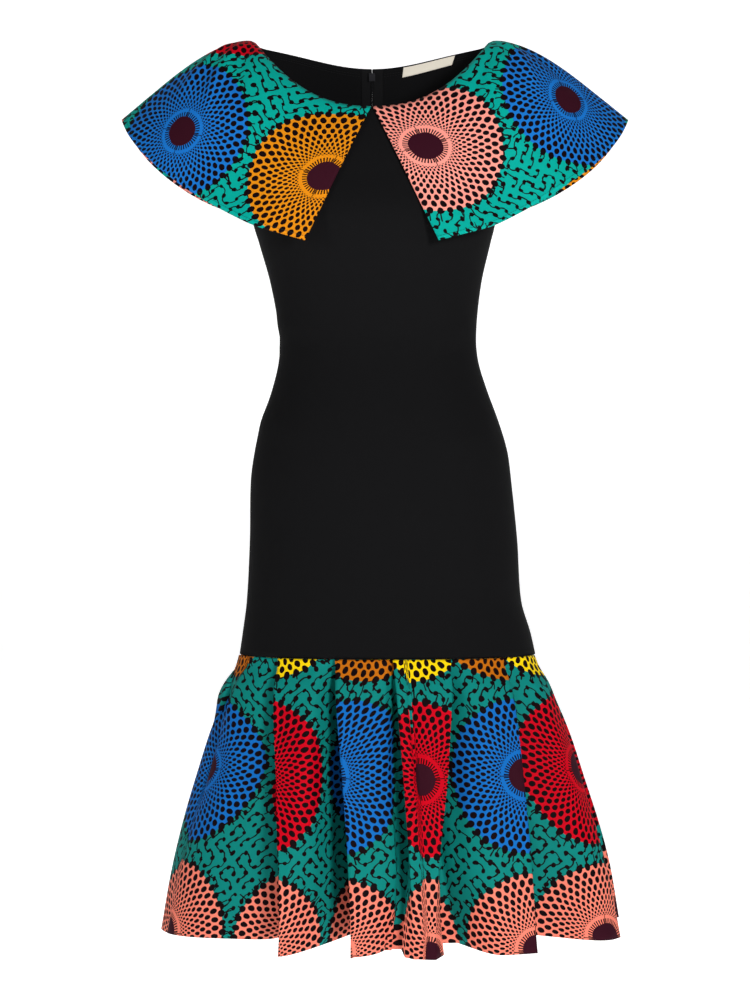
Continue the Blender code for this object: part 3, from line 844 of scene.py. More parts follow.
COLLAR_STAND_OFF = 4 * MM
NECK_STAND_OFF = 2.6 * MM
BACK_NECK_DROP = 2.4 * MM
SPREAD_SIDEWAYS = 0.25
LIFT_CURVE = 1.5
LIFT_PLACE = 0.66
STAND_OFF_PLACE = 1.4


def collar_point(hand, share, out):
    """A point of a collar half: share runs from front to back, out from the neckline to the edge."""
    turn = (1.0 - abs(2.0 * share - 1.0)) * math.pi / 2.0
    side = -1 if share <= 0.5 else 1
    neck = neck_point(NECK_HALF_WIDTH * math.sin(turn), side)
    neck.x += (COLLAR_CENTRE_GAP_FRONT if side < 0 else COLLAR_CENTRE_GAP_BACK) * math.cos(turn)
    spread = Vector((SPREAD_SIDEWAYS * math.sin(turn), side * math.cos(turn), math.sin(turn)))
    spread.normalize()
    start = neck + spread * NECK_STAND_OFF
    if side > 0:
        start.z -= BACK_NECK_DROP * math.sqrt(max(math.sin(2.0 * turn), 0.0))
    side_x, y, z = (v * MM for v in read_table(COLLAR_EDGE, share))
    lift = mix(COLLAR_LIFT_FRONT, COLLAR_LIFT, math.sin(turn) ** LIFT_CURVE)
    point = start.lerp(Vector((side_x, y, z)), out)
    point += spread * lift * math.sin(math.pi * out ** LIFT_PLACE)
    point.y += side * COLLAR_STAND_OFF * math.sin(math.pi * min(out * STAND_OFF_PLACE, 1.0))
    return Vector((hand * point.x + COLLAR_LEAN_X * out * math.sin(turn), point.y, point.z))


print("shoulder edge of the collar", [round(v, 3) for v in collar_point(1, 0.5, 1.0)])


# %% Lay the collar flat, so that its print can be placed
FLAT_MIDDLE_RADIUS = 345.0


def lay_flat(points):
    """The flat place of each point: lengths are kept from neck to edge and along the middle row."""
    middle = COLLAR_ROWS // 2
    places, along = [], 0.0
    for c, column in enumerate(points):
        if c:
            along += (column[middle] - points[c - 1][middle]).length / MM
        turn = along / FLAT_MIDDLE_RADIUS
        lengths = [0.0]
        for before, after in zip(column, column[1:]):
            lengths.append(lengths[-1] + (after - before).length / MM)
        radii = [FLAT_MIDDLE_RADIUS + length - lengths[middle] for length in lengths]
        places.append([(radius * math.cos(turn), radius * math.sin(turn)) for radius in radii])
    return places


def collar_rows(hand, centre, tilt, flip, first):
    """Rows of a collar half. The flat place centre, turned by tilt, takes the print's place first."""
    points = [[collar_point(hand, c / COLLAR_COLUMNS, r / COLLAR_ROWS)
               for r in range(COLLAR_ROWS + 1)] for c in range(COLLAR_COLUMNS + 1)]
    flat = lay_flat(points)
    rows = []
    for r in range(COLLAR_ROWS, -1, -1):
        row = []
        for c in range(COLLAR_COLUMNS + 1):
            x, y = flat[c][r][0] - centre[0], flat[c][r][1] - centre[1]
            turned_x = x * math.cos(tilt) - y * math.sin(tilt)
            turned_y = x * math.sin(tilt) + y * math.cos(tilt)
            row.append((points[c][r], turned_x + first[0], flip * turned_y + first[1],
                        c / COLLAR_COLUMNS, r / COLLAR_ROWS))
        rows.append(row[::-1] if hand < 0 else row)
    return rows


# %% Place the print and the collar's waves and folds
COLLARS = (
    # side, hand, flat centre of one medallion, tilt, flip, its column and row in the print
    ("left", -1, (354.3, 13.4), -0.107, 1.0, 1, 0),
    ("right", 1, (313.9, 36.5), -0.136, -1.0, 1, 2),
)
COLLAR_LENGTH = 560
COLLAR_DEPTH = 205
WAVE_WIDTH = 0.06
WAVES_START = 0.25
FOLDS_GROW_IN = 0.08
COLLAR_SWELLS = {
    # share, depth (mm) of the slow waves of the outer edge, from front to back
    "left": ((0.10, 1.8), (0.24, -2.2), (0.36, 2.4), (0.62, 2.6), (0.78, -2.4), (0.92, 2.0)),
    "right": ((0.13, -1.8), (0.27, 2.4), (0.40, -2.0), (0.60, -2.2), (0.74, 2.6), (0.90, -1.6)),
}
COLLAR_FOLDS = {
    # share and out of both ends, width, rise (mm): they fan out from the shoulder
    "left": ((0.44, 0.06, 0.30, 0.62, 8, 4.0), (0.41, 0.05, 0.24, 0.42, 7, -3.4),
             (0.47, 0.10, 0.38, 0.74, 9, 3.4), (0.37, 0.03, 0.15, 0.30, 7, 2.8),
             (0.56, 0.08, 0.72, 0.66, 7, 2.2), (0.60, 0.05, 0.80, 0.44, 7, -1.8)),
    "right": ((0.45, 0.06, 0.34, 0.50, 8, 3.8), (0.42, 0.04, 0.28, 0.34, 7, 3.4),
              (0.48, 0.08, 0.42, 0.66, 8, -3.0), (0.38, 0.03, 0.18, 0.24, 7, -2.4),
              (0.54, 0.06, 0.68, 0.58, 7, -2.0), (0.59, 0.05, 0.77, 0.50, 7, 2.2)),
}


def wave_of(side):
    """How far a collar swings out or in at each of its places: its slow waves and its folds."""
    folds = [(a * COLLAR_LENGTH, b * COLLAR_DEPTH, c * COLLAR_LENGTH, d * COLLAR_DEPTH, width, rise)
             for a, b, c, d, width, rise in COLLAR_FOLDS[side]]

    def swing(point, x, y, share, out):
        waves = sum(depth * math.exp(-((share - at) / WAVE_WIDTH) ** 2)
                    for at, depth in COLLAR_SWELLS[side])
        fold = crease_height(folds, share * COLLAR_LENGTH, out * COLLAR_DEPTH)
        waves *= smooth((out - WAVES_START) / (1.0 - WAVES_START))
        return waves + fold * smooth(out / FOLDS_GROW_IN)
    return swing


# %% Lay the collar halves and their under sides
COLLAR_WALL = 1.0 * MM
uppers, lowers = {}, {}
for side, hand, centre, tilt, flip, column, row in COLLARS:
    first = (column * COLLAR_COLUMN_WIDTHS[side], row * COLLAR_ROW_HEIGHT)
    rows = collar_rows(hand, centre, tilt, flip, first)
    cloth = collar_prints[side]
    uppers[side] = lay_cloth("collar_" + side + "_cloth", rows, COLLAR_WALL, cloth,
                             1.0, swell=wave_of(side))
    lowers[side] = lay_cloth("under_collar_" + side + "_cloth", rows, COLLAR_WALL, cloth,
                             inward=SEAM_GAP, swell=wave_of(side))
    sew_on(uppers[side], "collar_" + side)
    sew_on(lowers[side], "under_collar_" + side)


# %% [markdown]
# ## The pleated flounce
#
# The flounce is one long strip, folded into knife pleats that turn away from the middle. At the
# seam the folds lie flat on each other; at the hem they have opened. Each row of points is the
# strip seen from above: panel, crisp edge, layer turned under, and the layer below. The print is
# measured along the cloth from each crisp edge, so that every pleat starts with a medallion.

# %% Fold the flounce
FLOUNCE_PLAN = (
    # drop_share, centre_x, half_width, front_depth, back_depth
    (0.00, 19.6, 187.4, 123, 120),
    (0.04, 20.2, 192.0, 127, 124),
    (0.10, 21.0, 204.0, 136, 133),
    (0.22, 22.2, 219.0, 148, 145),
    (0.40, 23.8, 239.0, 163, 160),
    (0.60, 25.2, 260.0, 177, 175),
    (0.80, 26.2, 277.0, 188, 186),
    (1.00, 26.7, 289.0, 195, 193),
)
FRONT_PLEATS = (
    # facing, cloth, seam_angle, hem_angle, seam_hidden, hem_hidden, ridge, valley,
    # and how much farther along the cloth its edge lies at the seam and at the hem.
    # Angles are in degrees from the middle, and all else is in millimetres.
    (-1, -672, -80.0, -82.0, 12, -4, 5, 10, 52, 0),
    (-1, -370, -42.7, -23.8, 50, -6, 24, 30, -18, 0),
    (-1, -178, -16.8, -7.4, 44, 30, 22, 50, -60, 0),
    (-1, -54, 1.2, 2.8, 22, -8, 25, -6, 0, 0),
    (1, 50, 20.7, 6.8, 22, -10, 27, 14, 0, 0),
    (1, 200, 45.9, 31.4, 50, 38, 18, 48, 0, 0),
    (1, 400, 76.0, 67.0, 34, 16, 10, 22, 0, 26),
)
BACK_PLEATS = (
    # the same columns
    (-1, -500, -77.0, -79.0, 34, 8, 8, 20, 0, 0),
    (-1, -330, -52.0, -45.0, 44, -4, 20, 24, 0, 0),
    (-1, -170, -29.5, -24.0, 38, 28, 18, 30, 0, 0),
    (-1, -36, -9.5, -5.5, 20, -8, 22, 20, 0, 0),
    (1, 36, 12.0, 8.5, 20, -8, 22, 20, 0, 0),
    (1, 170, 33.0, 28.0, 38, 30, 16, 30, 0, 0),
    (1, 330, 56.0, 51.0, 44, 4, 18, 24, 0, 0),
    (1, 500, 78.0, 80.0, 30, 10, 8, 20, 0, 0),
)
FRONT_TUCKS = {
    # pleat number: how far beside its edge a tight tuck lies, the cloth it hides, its width (mm)
    0: (30, 40, 7),
    3: (12, 36, 6),
}
print("pleats in front", len(FRONT_PLEATS), "and behind", len(BACK_PLEATS))


# %% Work out each pleat at one height
PLEAT_STEPS = 8
PLEAT_LAYER = 2.6 * MM
PLEAT_TOP_OUT = 1.5 * MM
PLEAT_LEAD = 9 * MM
PLEAT_OPEN_BELOW = 12 * MM
PLEAT_SWING = 1.8
PLEAT_OPENING = 0.75
PLEAT_UNHIDES = 0.9
DRIFT_ENDS_AT = 0.42
POCKET_DEPTH = 17 * MM
POCKET_REACH = 11 * MM
POCKET_OPENS_IN = 0.16
MIDDLE_AT_SEAM = 0.5
MIDDLE_AT_HEM = 0.4
MIDDLE_STARTS = 0.8
MIDDLE_ENDS = 0.2
MIDDLE_RISE = 0.7


def pleat_folds(pleats, drop):
    """Each pleat at one height: its edge and its layers. Widths are turned into degrees of the plan."""
    centre, half, front, back = (v * MM for v in read_table(FLOUNCE_PLAN, drop))
    degrees = math.degrees(1.0) / ((half + front) / 2.0)
    opened = drop ** PLEAT_OPENING
    folds = []
    for (facing, cloth, seam_angle, hem_angle, seam_hidden, hem_hidden,
         ridge, valley, seam_drift, hem_drift) in pleats:
        top = mix(PLEAT_TOP_OUT, ridge * MM, opened)
        bottom = mix(PLEAT_TOP_OUT - 2 * PLEAT_LAYER, -valley * MM, opened)
        hidden = mix(seam_hidden, hem_hidden, drop ** PLEAT_UNHIDES) * MM
        below_edge = (top - bottom) * mix(MIDDLE_AT_SEAM, MIDDLE_AT_HEM, opened)
        drift = seam_drift * smooth(1.0 - drop / DRIFT_ENDS_AT)
        drift += hem_drift * smooth((drop - DRIFT_ENDS_AT) / (1.0 - DRIFT_ENDS_AT))
        folds.append({
            "facing": facing,
            "cloth": cloth + drift,
            "angle": mix(seam_angle, hem_angle, 1.0 - (1.0 - drop) ** PLEAT_SWING),
            "hidden": hidden * degrees,
            "top": top,
            "middle": top - max(PLEAT_LAYER, below_edge),
            "bottom": bottom,
            "lead": PLEAT_LEAD * opened * degrees,
            "open": smooth(1.0 - hidden / PLEAT_OPEN_BELOW),
            "pocket": POCKET_DEPTH * smooth(drop / POCKET_OPENS_IN),
            "reach": POCKET_REACH * degrees,
        })
    return folds


def fold_start(fold):
    """Where the bottom layer begins: below the crisp edge, or beside it once the pleat has opened."""
    return fold["angle"] - fold["facing"] * (2.0 * min(fold["hidden"], 0.0) - fold["lead"])


def under_layers(fold):
    """The bottom and the middle layer under one pleat; the middle one ends at the crisp edge."""
    facing, hidden = fold["facing"], fold["hidden"]
    opened_by = min(hidden, 0.0)
    bottom, middle = [], []
    for k in range(PLEAT_STEPS + 1):
        share = k / PLEAT_STEPS
        bottom.append((fold["angle"] - facing * mix(2.0 * opened_by - fold["lead"], hidden, share),
                       fold["bottom"] - fold["pocket"]))
        away = mix(max(hidden, opened_by * MIDDLE_STARTS), opened_by * MIDDLE_ENDS, share)
        rise = share * MIDDLE_RISE * fold["open"]
        middle.append((fold["angle"] - facing * away, mix(fold["middle"], fold["top"], rise)))
    middle.append((fold["angle"], fold["top"]))
    return bottom, middle


# %% Join the pleats into one line round half the hem
PANEL_STEPS = 28
PANEL_COVER_STEPS = 16
COVER_STARTS = 0.3
COVER_GROWS_IN = 0.4
LEAST_FREE = 0.08
SIDE_SEAM_SINK = 0.6


def panel_line(fold, after):
    """The stretch that shows between two crisp edges: level over hidden layers, sloping elsewhere."""
    start = fold["angle"] if fold["facing"] < 0 else fold_start(fold)
    end = after["angle"] if after["facing"] > 0 else fold_start(after)
    width = end - start
    cover_start = max(fold["hidden"], 0.0) / width if fold["facing"] < 0 else 0.0
    cover_end = max(after["hidden"], 0.0) / width if after["facing"] > 0 else 0.0
    out_start = fold["top"] if fold["facing"] < 0 else fold["bottom"]
    out_end = after["top"] if after["facing"] > 0 else after["bottom"]
    free = max(1.0 - cover_start - cover_end, LEAST_FREE)
    cover = max(cover_start, cover_end)
    shares = []
    for k in range(1, PANEL_STEPS):
        even = share = k / PANEL_STEPS
        if fold["facing"] == after["facing"]:
            tight = even / PANEL_COVER_STEPS * PANEL_STEPS * cover
            if k > PANEL_COVER_STEPS:
                tight = mix(cover, 1.0, (k - PANEL_COVER_STEPS) / (PANEL_STEPS - PANEL_COVER_STEPS))
            share = mix(even, tight, smooth((cover - COVER_STARTS) / COVER_GROWS_IN))
            share = 1.0 - share if cover_end > cover_start else share
        shares.append(share)
    line = []
    for share in sorted(shares):
        out = mix(out_start, out_end, smooth((share - cover_start) / free))
        if fold["facing"] > 0:
            out -= fold["pocket"] * math.exp(-width * share / fold["reach"])
        if after["facing"] < 0:
            out -= after["pocket"] * math.exp(-width * (1.0 - share) / after["reach"])
        line.append((mix(start, end, share), out))
    return line


def pleat_runs(folds):
    """The flounce in plan at one height, as runs of (kind, pleat, points)."""
    runs = [("side", 0, [(-SIDE_SEAM_ANGLE, folds[0]["bottom"] * SIDE_SEAM_SINK)])]
    for index, fold in enumerate(folds):
        bottom, middle = under_layers(fold)
        if fold["facing"] < 0:
            runs += [("bottom", index, bottom), ("middle", index, middle)]
        else:
            runs += [("middle", index, middle[::-1]), ("bottom", index, bottom[::-1])]
        if index + 1 < len(folds):
            runs.append(("panel", index, panel_line(fold, folds[index + 1])))
    runs.append(("side", index, [(SIDE_SEAM_ANGLE, fold["bottom"] * SIDE_SEAM_SINK)]))
    return runs


# %% Measure the print's place along the folded cloth
NO_TUCK = (0, 0, 1)


def tucked(tucks, index, along):
    """The cloth that a tight tuck takes in, up to one place beside its pleat's edge."""
    place, taken, width = tucks.get(index, NO_TUCK)
    return taken * smooth((along - place) / width)


def measure_cloth(runs, folds, line, tucks):
    """The place along the cloth of each point of one row, counted from the crisp edges."""
    arcs = [0.0]
    for before, after in zip(line, line[1:]):
        arcs.append(arcs[-1] + (after - before).length / MM)
    places = [None] * len(line)
    spans, start = [], 0
    for kind, index, points in runs:
        spans.append((kind, index, start, start + len(points) - 1))
        start += len(points)
    edge_arc, edge_place = {}, {}
    for kind, index, first, last in spans:
        if kind == "middle":
            edge_arc[index] = arcs[last if folds[index]["facing"] < 0 else first]
            edge_place[index] = folds[index]["cloth"]
    for kind, index, first, last in spans:
        if kind != "panel":
            continue
        from_left = folds[index]["facing"] < 0
        anchor = index if from_left else index + 1
        for n in range(first, last + 1):
            along = arcs[n] - edge_arc[anchor]
            places[n] = edge_place[anchor] + along + tucked(tucks, anchor, along)
        if from_left and folds[index + 1]["facing"] > 0:
            along = edge_arc[index + 1] - edge_arc[index]
            edge_place[index + 1] = edge_place[index] + along + tucked(tucks, index, along)
    for kind, index, first, last in spans:
        if kind == "middle":
            for n in range(first, last + 1):
                away = abs(arcs[n] - edge_arc[index])
                places[n] = edge_place[index] + folds[index]["facing"] * away
    for kind, index, first, last in spans:
        if kind == "bottom":
            facing = folds[index]["facing"]
            low, high = first - 1, last + 1
            low_place, high_place = places[low], places[high]
            if low_place is None:
                low_place = high_place - (arcs[high] - arcs[first])
            if high_place is None:
                high_place = low_place + arcs[last] - arcs[low]
                high = last
            for n in range(first, last + 1):
                share = (arcs[n] - arcs[low]) / max(arcs[high] - arcs[low], 1e-6)
                places[n] = mix(low_place, high_place, share)
    places[0] = places[1] - (arcs[1] - arcs[0])
    places[-1] = places[-2] + arcs[-1] - arcs[-2]
    return places


# %% Stack the lines from hem to seam
HEM_Z = -1110 * MM
FLOUNCE_DEPTH = 352.0
FIRST_ROW_ABOVE_SEAM = 66.0
FLOUNCE_ROWS = 54
ROWS_CLOSE_UP = 1.25
FLOUNCE_TOP_DROP = 0.6 * MM
HEM_DROP_PER_RIDGE = 0.15


def flounce_cloth(pleats, side, tucks, hem_gather):
    """Rows of one flounce panel from the hem up to the seam, with their places on the print."""
    rows = []
    for r in range(FLOUNCE_ROWS, -1, -1):
        drop = (r / FLOUNCE_ROWS) ** ROWS_CLOSE_UP
        centre, half, front, back = (v * MM for v in read_table(FLOUNCE_PLAN, drop))
        depth = front if side < 0 else back
        folds = pleat_folds(pleats, drop)
        for fold in folds:
            fold["cloth"] *= mix(1.0, hem_gather, drop)
        runs = pleat_runs(folds)
        line = []
        for _, _, points in runs:
            for angle, out in points:
                turn = math.radians(angle)
                sine, cosine = rounded(math.sin(turn)), rounded(math.cos(turn))
                normal = Vector((sine / half, cosine / depth, 0)).normalized()
                x, y = half * sine + normal.x * out, depth * cosine + normal.y * out
                z = mix(FLOUNCE_SEAM_Z - FLOUNCE_TOP_DROP, HEM_Z - HEM_DROP_PER_RIDGE * out, drop)
                line.append(Vector((centre - side * x, side * y, z)))
        places = measure_cloth(runs, folds, line, tucks)
        down = FLOUNCE_DEPTH * drop + FIRST_ROW_ABOVE_SEAM
        rows.append([(point, place, down) for point, place in zip(line, places)])
    return rows


# %% Crease, ripple and lay the flounce panels
FLOUNCE_WALL = 1.2 * MM
BACK_HEM_GATHER = 0.78
FRONT_FLOUNCE_CREASES = (
    # from along, from down, to along, to down, width, rise (mm); down is 66 at the seam
    (-622, 72, -618, 340, 26, -8.0),
    (-560, 90, -545, 330, 14, 3.0),
    (-505, 75, -520, 250, 11, -2.2),
    (-470, 120, -450, 400, 15, 3.2),
    (-372, 90, -366, 300, 10, -2.0),
    (-330, 85, -318, 410, 14, 3.0),
    (-290, 150, -276, 410, 12, -2.4),
    (-150, 90, -146, 280, 9, 1.8),
    (-118, 130, -104, 414, 12, -2.6),
    (-21, 72, -20, 300, 20, -8.0),
    (10, 80, 14, 250, 7, 1.6),
    (34, 150, 30, 400, 9, 1.8),
    (96, 90, 92, 400, 11, 2.4),
    (136, 120, 140, 330, 9, -2.0),
    (250, 84, 262, 330, 12, 2.4),
    (300, 120, 322, 410, 14, 3.2),
    (350, 90, 356, 260, 10, -2.2),
    (450, 90, 440, 330, 12, 2.6),
    (492, 130, 500, 400, 14, -2.6),
)
BACK_FLOUNCE_CREASES = (
    # from along, from down, to along, to down, width, rise (mm)
    (-470, 90, -455, 360, 13, 2.8),
    (-410, 110, -398, 300, 10, -2.0),
    (-290, 84, -282, 380, 12, 2.6),
    (-240, 120, -228, 410, 12, -2.4),
    (-120, 90, -112, 330, 10, 2.2),
    (-60, 130, -66, 400, 9, -1.8),
    (60, 84, 70, 300, 9, 2.0),
    (104, 120, 112, 410, 12, 2.6),
    (215, 90, 226, 350, 11, -2.2),
    (268, 110, 280, 410, 13, 2.8),
    (378, 90, 388, 320, 11, 2.4),
    (430, 120, 448, 400, 13, -2.6),
)


RIPPLE_STARTS = 150.0
RIPPLE_GROWS_IN = 270.0
SIDE_SEAM_CALM = 40 * MM
SHORT_RIPPLE = (1.3, 23.0)
LONG_RIPPLE = (0.9, 51.0)


def hem_ripple(point, along, down):
    """A low, uneven ripple of the cloth, nothing at the seam and most at the hem."""
    share = smooth((down - RIPPLE_STARTS) / RIPPLE_GROWS_IN) * smooth(abs(point.y) / SIDE_SEAM_CALM)
    short = SHORT_RIPPLE[0] * math.sin(along / SHORT_RIPPLE[1] + 1.1)
    slow = LONG_RIPPLE[0] * math.sin(along / LONG_RIPPLE[1] + down / 70.0)
    return share * (short + slow)


FLOUNCES = (
    # panel, side, pleats, tucks, gather at the hem, creases
    ("front", -1, FRONT_PLEATS, FRONT_TUCKS, 1.0, FRONT_FLOUNCE_CREASES),
    ("back", 1, BACK_PLEATS, {}, BACK_HEM_GATHER, BACK_FLOUNCE_CREASES),
)
flounces = {}
for panel, side, pleats, tucks, gather, creases in FLOUNCES:
    rows = flounce_cloth(pleats, side, tucks, gather)
    flounces[panel] = lay_cloth("flounce_" + panel + "_cloth", rows, FLOUNCE_WALL, flounce_print,
                                0.0, creases, swell=hem_ripple)
    sew_on(flounces[panel], "flounce_" + panel)


# %% [markdown]
# ## The zip
#
# An invisible zip would not show, but this one is a plain coil zip: two woven tapes, a nylon coil
# wound like a spring between them, and a dark slider with its pull. The slider and the pull are
# hard parts and stay as the solid model has them. They only get a finish.

# %% Name the zip's sizes
ZIP_BOTTOM_Z = -560 * MM
BACK_GUIDE = body_rows(1, -1.0, 1.0, 2 * BODY_COLUMNS_HALF, 0.0)
print("zip length", round(NECK_BACK_Z - ZIP_BOTTOM_Z, 3))


# %% Read the outer face of the back
def back_line(x):
    """Points up the back's outer face at one distance x from the middle, less than 0 on the left."""
    line = []
    for row in BACK_GUIDE:
        for (low, _, _), (high, _, _) in zip(row, row[1:]):
            if low.x <= x <= high.x:
                line.append(low.lerp(high, (x - low.x) / max(high.x - low.x, 1e-9)))
                break
    return line


def place_on(line, z):
    """The point of an upward line at one height, and the way out of the cloth there."""
    for low, high in zip(line, line[1:]):
        if low.z <= z <= high.z:
            point = low.lerp(high, (z - low.z) / (high.z - low.z))
            slope = (high - low).normalized()
            return point, Vector((0, slope.z, -slope.y)).normalized()
    return line[-1].copy(), Vector((0, 1, 0))


# %% Weave the tapes
TAPE_CLEARANCE = 0.6 * MM
TAPE_WIDTH = 13 * MM
TAPE_WALL = 1.0 * MM
TAPE_ROWS = 150
TAPE_COLUMNS = 8
TAPE_INWARD = BODY_WALL + TAPE_CLEARANCE
TAPE_TOP_Z = NECK_BACK_Z - 0.4 * MM

for name, hand in (("left", -1), ("right", 1)):
    lines = []
    for c in range(TAPE_COLUMNS + 1):
        x = CENTRE_BACK_HALF_GAP + TAPE_WIDTH * c / TAPE_COLUMNS
        lines.append((x, back_line(hand * (x if c else SEAM_GAP / 2))))
    rows = []
    for r in range(TAPE_ROWS + 1):
        z = mix(TAPE_TOP_Z, ZIP_BOTTOM_Z, r / TAPE_ROWS)
        row = []
        for x, line in lines:
            point, out = place_on(line, z)
            row.append((point - out * TAPE_INWARD, hand * x / MM, z / MM))
        rows.append(row[::-1] if hand > 0 else row)
    tape = lay_cloth("zip_tape_" + name + "_cloth", rows, TAPE_WALL, tape_weave)
    sew_on(tape, "zip_tape_" + name)


# %% Wind the coil
COIL_WIDTH = 2.6 * MM
COIL_RADIUS = 0.32 * MM
COIL_PITCH = 1.3 * MM
SLIDER_DROP = 9 * MM
SLIDER_LENGTH = 10 * MM
COIL_TOP_Z = NECK_BACK_Z - SLIDER_DROP - SLIDER_LENGTH / 2 - 2 * MM
COIL_STEPS = 6
COIL_INWARD = TAPE_INWARD + TAPE_WALL + TAPE_CLEARANCE + 0.75 * MM
COIL_HALF_HEIGHT = 0.4 * MM


def thread_run(name, lines, radius, finish, corners=2):
    """A round thread or wire through one or more lines of points, made into a mesh."""
    curve = bpy.data.curves.new(name, "CURVE")
    curve.dimensions = "3D"
    curve.bevel_depth = radius
    curve.bevel_resolution = corners - 1
    curve.use_fill_caps = True
    for line in lines:
        spline = curve.splines.new("POLY")
        spline.points.add(len(line) - 1)
        for knot, point in zip(spline.points, line):
            knot.co = (*point, 1.0)
    curve.materials.append(finish)
    piece = bpy.data.objects.new(name, curve)
    bpy.context.scene.collection.objects.link(piece)
    bpy.ops.object.select_all(action="DESELECT")
    piece.select_set(True)
    bpy.context.view_layer.objects.active = piece
    bpy.ops.object.convert(target="MESH")
    made = bpy.context.object
    made.data.shade_smooth()
    return made


coil_line = []
centre_line = back_line(CENTRE_BACK_HALF_GAP)
turns = int((COIL_TOP_Z - ZIP_BOTTOM_Z - 2 * MM) / COIL_PITCH)
for n in range(turns * COIL_STEPS):
    point, out = place_on(centre_line, COIL_TOP_Z - n * COIL_PITCH / COIL_STEPS)
    angle = FULL_TURN * n / COIL_STEPS
    point -= out * COIL_INWARD
    point.x = math.cos(angle) * (COIL_WIDTH / 2 - COIL_RADIUS)
    coil_line.append(point + out * math.sin(angle) * COIL_HALF_HEIGHT)
zip_coil = thread_run("zip_coil_wound", [coil_line], COIL_RADIUS, coil_plastic)
sew_on(zip_coil, "zip_coil")
print("coil turns", turns)

# %% Finish the slider and the pull
zip_enamel, _ = new_finish(
    "zip_enamel", Base_Color=screen_colour(52, 52, 56), Metallic=0.8, Roughness=0.32)
for node in ("zip_slider", "zip_pull"):
    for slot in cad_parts[node].material_slots:
        slot.material = zip_enamel


# %% [markdown]
# ## The label
#
# A cream label is sewn inside the back neck. Its two ends are turned under before it is sewn, so
# they are a little thicker, and it bulges slightly between its stitches. It stays bare.

# %% Sew in the label
LABEL_START_X = 41 * MM
LABEL_END_X = 108 * MM
LABEL_HEIGHT = 13 * MM
LABEL_WALL = 0.7 * MM
LABEL_BELOW_EDGE = 1.5 * MM
LABEL_CLEARANCE = 0.7 * MM
LABEL_STEPS = 40
LABEL_ROWS = 8
LABEL_END_TURN = 6.0
LABEL_SLACK = 0.35
GUIDE_ROWS_DOWN = 11


def neck_inside(x, below, inward):
    """A point inside the right back panel: a distance x out, and below its top edge."""
    top, under = BACK_GUIDE[-1], BACK_GUIDE[-1 - GUIDE_ROWS_DOWN]
    column = max(c for c in range(len(top) - 1) if top[c][0].x <= x)
    share = (x - top[column][0].x) / (top[column + 1][0].x - top[column][0].x)
    head = top[column][0].lerp(top[column + 1][0], share)
    foot = under[column][0].lerp(under[column + 1][0], share)
    across = (top[column + 1][0] - top[column][0]).normalized()
    slope = (foot - head).normalized()
    way_in = across.cross(slope).normalized()
    if way_in.y > 0:
        way_in.negate()
    return head + slope * below + way_in * inward


label_rows = []
for r in range(LABEL_ROWS + 1):
    row = []
    for k in range(LABEL_STEPS + 1):
        x = mix(LABEL_END_X, LABEL_START_X, k / LABEL_STEPS)
        below = LABEL_BELOW_EDGE + LABEL_HEIGHT * (1 - r / LABEL_ROWS)
        row.append((neck_inside(x, below, BODY_WALL + LABEL_CLEARANCE), x / MM, -below / MM))
    label_rows.append(row)


def label_bulge(point, x, y):
    """Higher where the ends are turned under, and a slack swell between the stitched edges."""
    near_end = min(x - LABEL_START_X / MM, LABEL_END_X / MM - x)
    down = (-y - LABEL_BELOW_EDGE / MM) / (LABEL_HEIGHT / MM)
    slack = math.sin(math.pi * min(max(down, 0.0), 1.0))
    return LABEL_SLACK * (smooth((LABEL_END_TURN + 0.8 - near_end) / 1.6) + slack)


label = lay_cloth("label_cloth", label_rows, LABEL_WALL, label_satin, swell=label_bulge)
sew_on(label, "label")


# %% [markdown]
# ## Sewing
#
# Stitches are short threads that lie just on the cloth. Two rows hold the facing below the back
# neck, and one row runs round each collar edge. Each dash is made by cutting a line of points
# into short runs and leaving a gap after each.

# %% Make the stitches
STITCH_LENGTH = 2.6
STITCH_GAP = 1.0
THREAD_RADIUS = 0.22 * MM


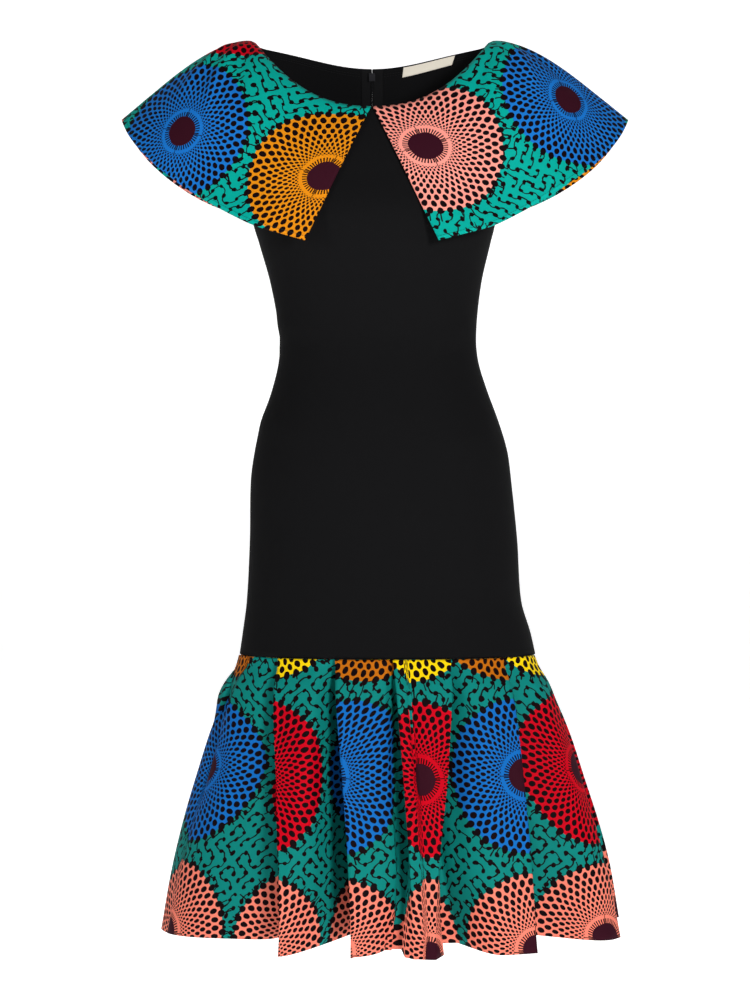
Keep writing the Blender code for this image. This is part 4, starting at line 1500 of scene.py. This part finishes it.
def stitches_along(line):
    """Cuts a line of points into short dashes, with a gap after each."""
    dashes, dash, used, drawing = [], [line[0]], 0.0, True
    for before, after in zip(line, line[1:]):
        length = (after - before).length / MM
        done = 0.0
        while done < length:
            limit = STITCH_LENGTH if drawing else STITCH_GAP
            step = min(limit - used, length - done)
            done += step
            used += step
            here = before.lerp(after, done / max(length, 1e-9))
            if used >= limit - 1e-6:
                if drawing:
                    dash.append(here)
                    dashes.append(dash)
                dash, used, drawing = [here], 0.0, not drawing
    return [dash for dash in dashes if len(dash) > 1]


def surface_line(piece, columns, row, lift):
    """One grid row of a cloth piece, lifted off its surface."""
    vertices = piece.data.vertices[row * columns:(row + 1) * columns]
    return [vertex.co + vertex.normal * lift for vertex in vertices]


# %% Sew the collar edges and the back neck
THREAD_SUNK = 0.4 * THREAD_RADIUS
NECK_SEWING_ROWS = (7 * MM, 10 * MM)
NECK_SEWING_ENDS = (16 * MM, 132 * MM)
NECK_SEWING_STEPS = 60

for side, piece in uppers.items():
    line = surface_line(piece, COLLAR_COLUMNS + 1, 1, COLLAR_WALL + THREAD_SUNK)
    sewn = thread_run("collar_stitches_" + side, stitches_along(line), THREAD_RADIUS, collar_thread)
    sew_on(sewn, None)

neck_lines = []
for below in NECK_SEWING_ROWS:
    for hand in (-1, 1):
        line = []
        for k in range(NECK_SEWING_STEPS + 1):
            x = mix(*NECK_SEWING_ENDS, k / NECK_SEWING_STEPS)
            point = neck_inside(x, below, BODY_WALL + THREAD_SUNK)
            line.append(Vector((hand * point.x, point.y, point.z)))
        neck_lines += stitches_along(line)
neck_sewing = thread_run("back_neck_stitches", neck_lines, THREAD_RADIUS, black_thread)
sew_on(neck_sewing, None)
print("back neck stitches", len(neck_lines))

# %% Roll the collar's neck edge
ROLL_RADIUS = 0.6 * MM
ROLL_LIFT = 0.2 * MM
for side, piece in uppers.items():
    line = surface_line(piece, COLLAR_COLUMNS + 1, COLLAR_ROWS, ROLL_LIFT)
    roll = thread_run("neck_roll_" + side, [line], ROLL_RADIUS, pink_roll, corners=3)
    sew_on(roll, None)


# %% [markdown]
# ## The sizes
#
# The frame of the imported model and the frame of everything now shown are measured and printed.

# %% Print the sizes
bpy.context.view_layer.update()
size = {"cad": [list(corner) for corner in cad_box],
        "visual": [list(corner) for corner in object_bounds()]}
print("size", size)
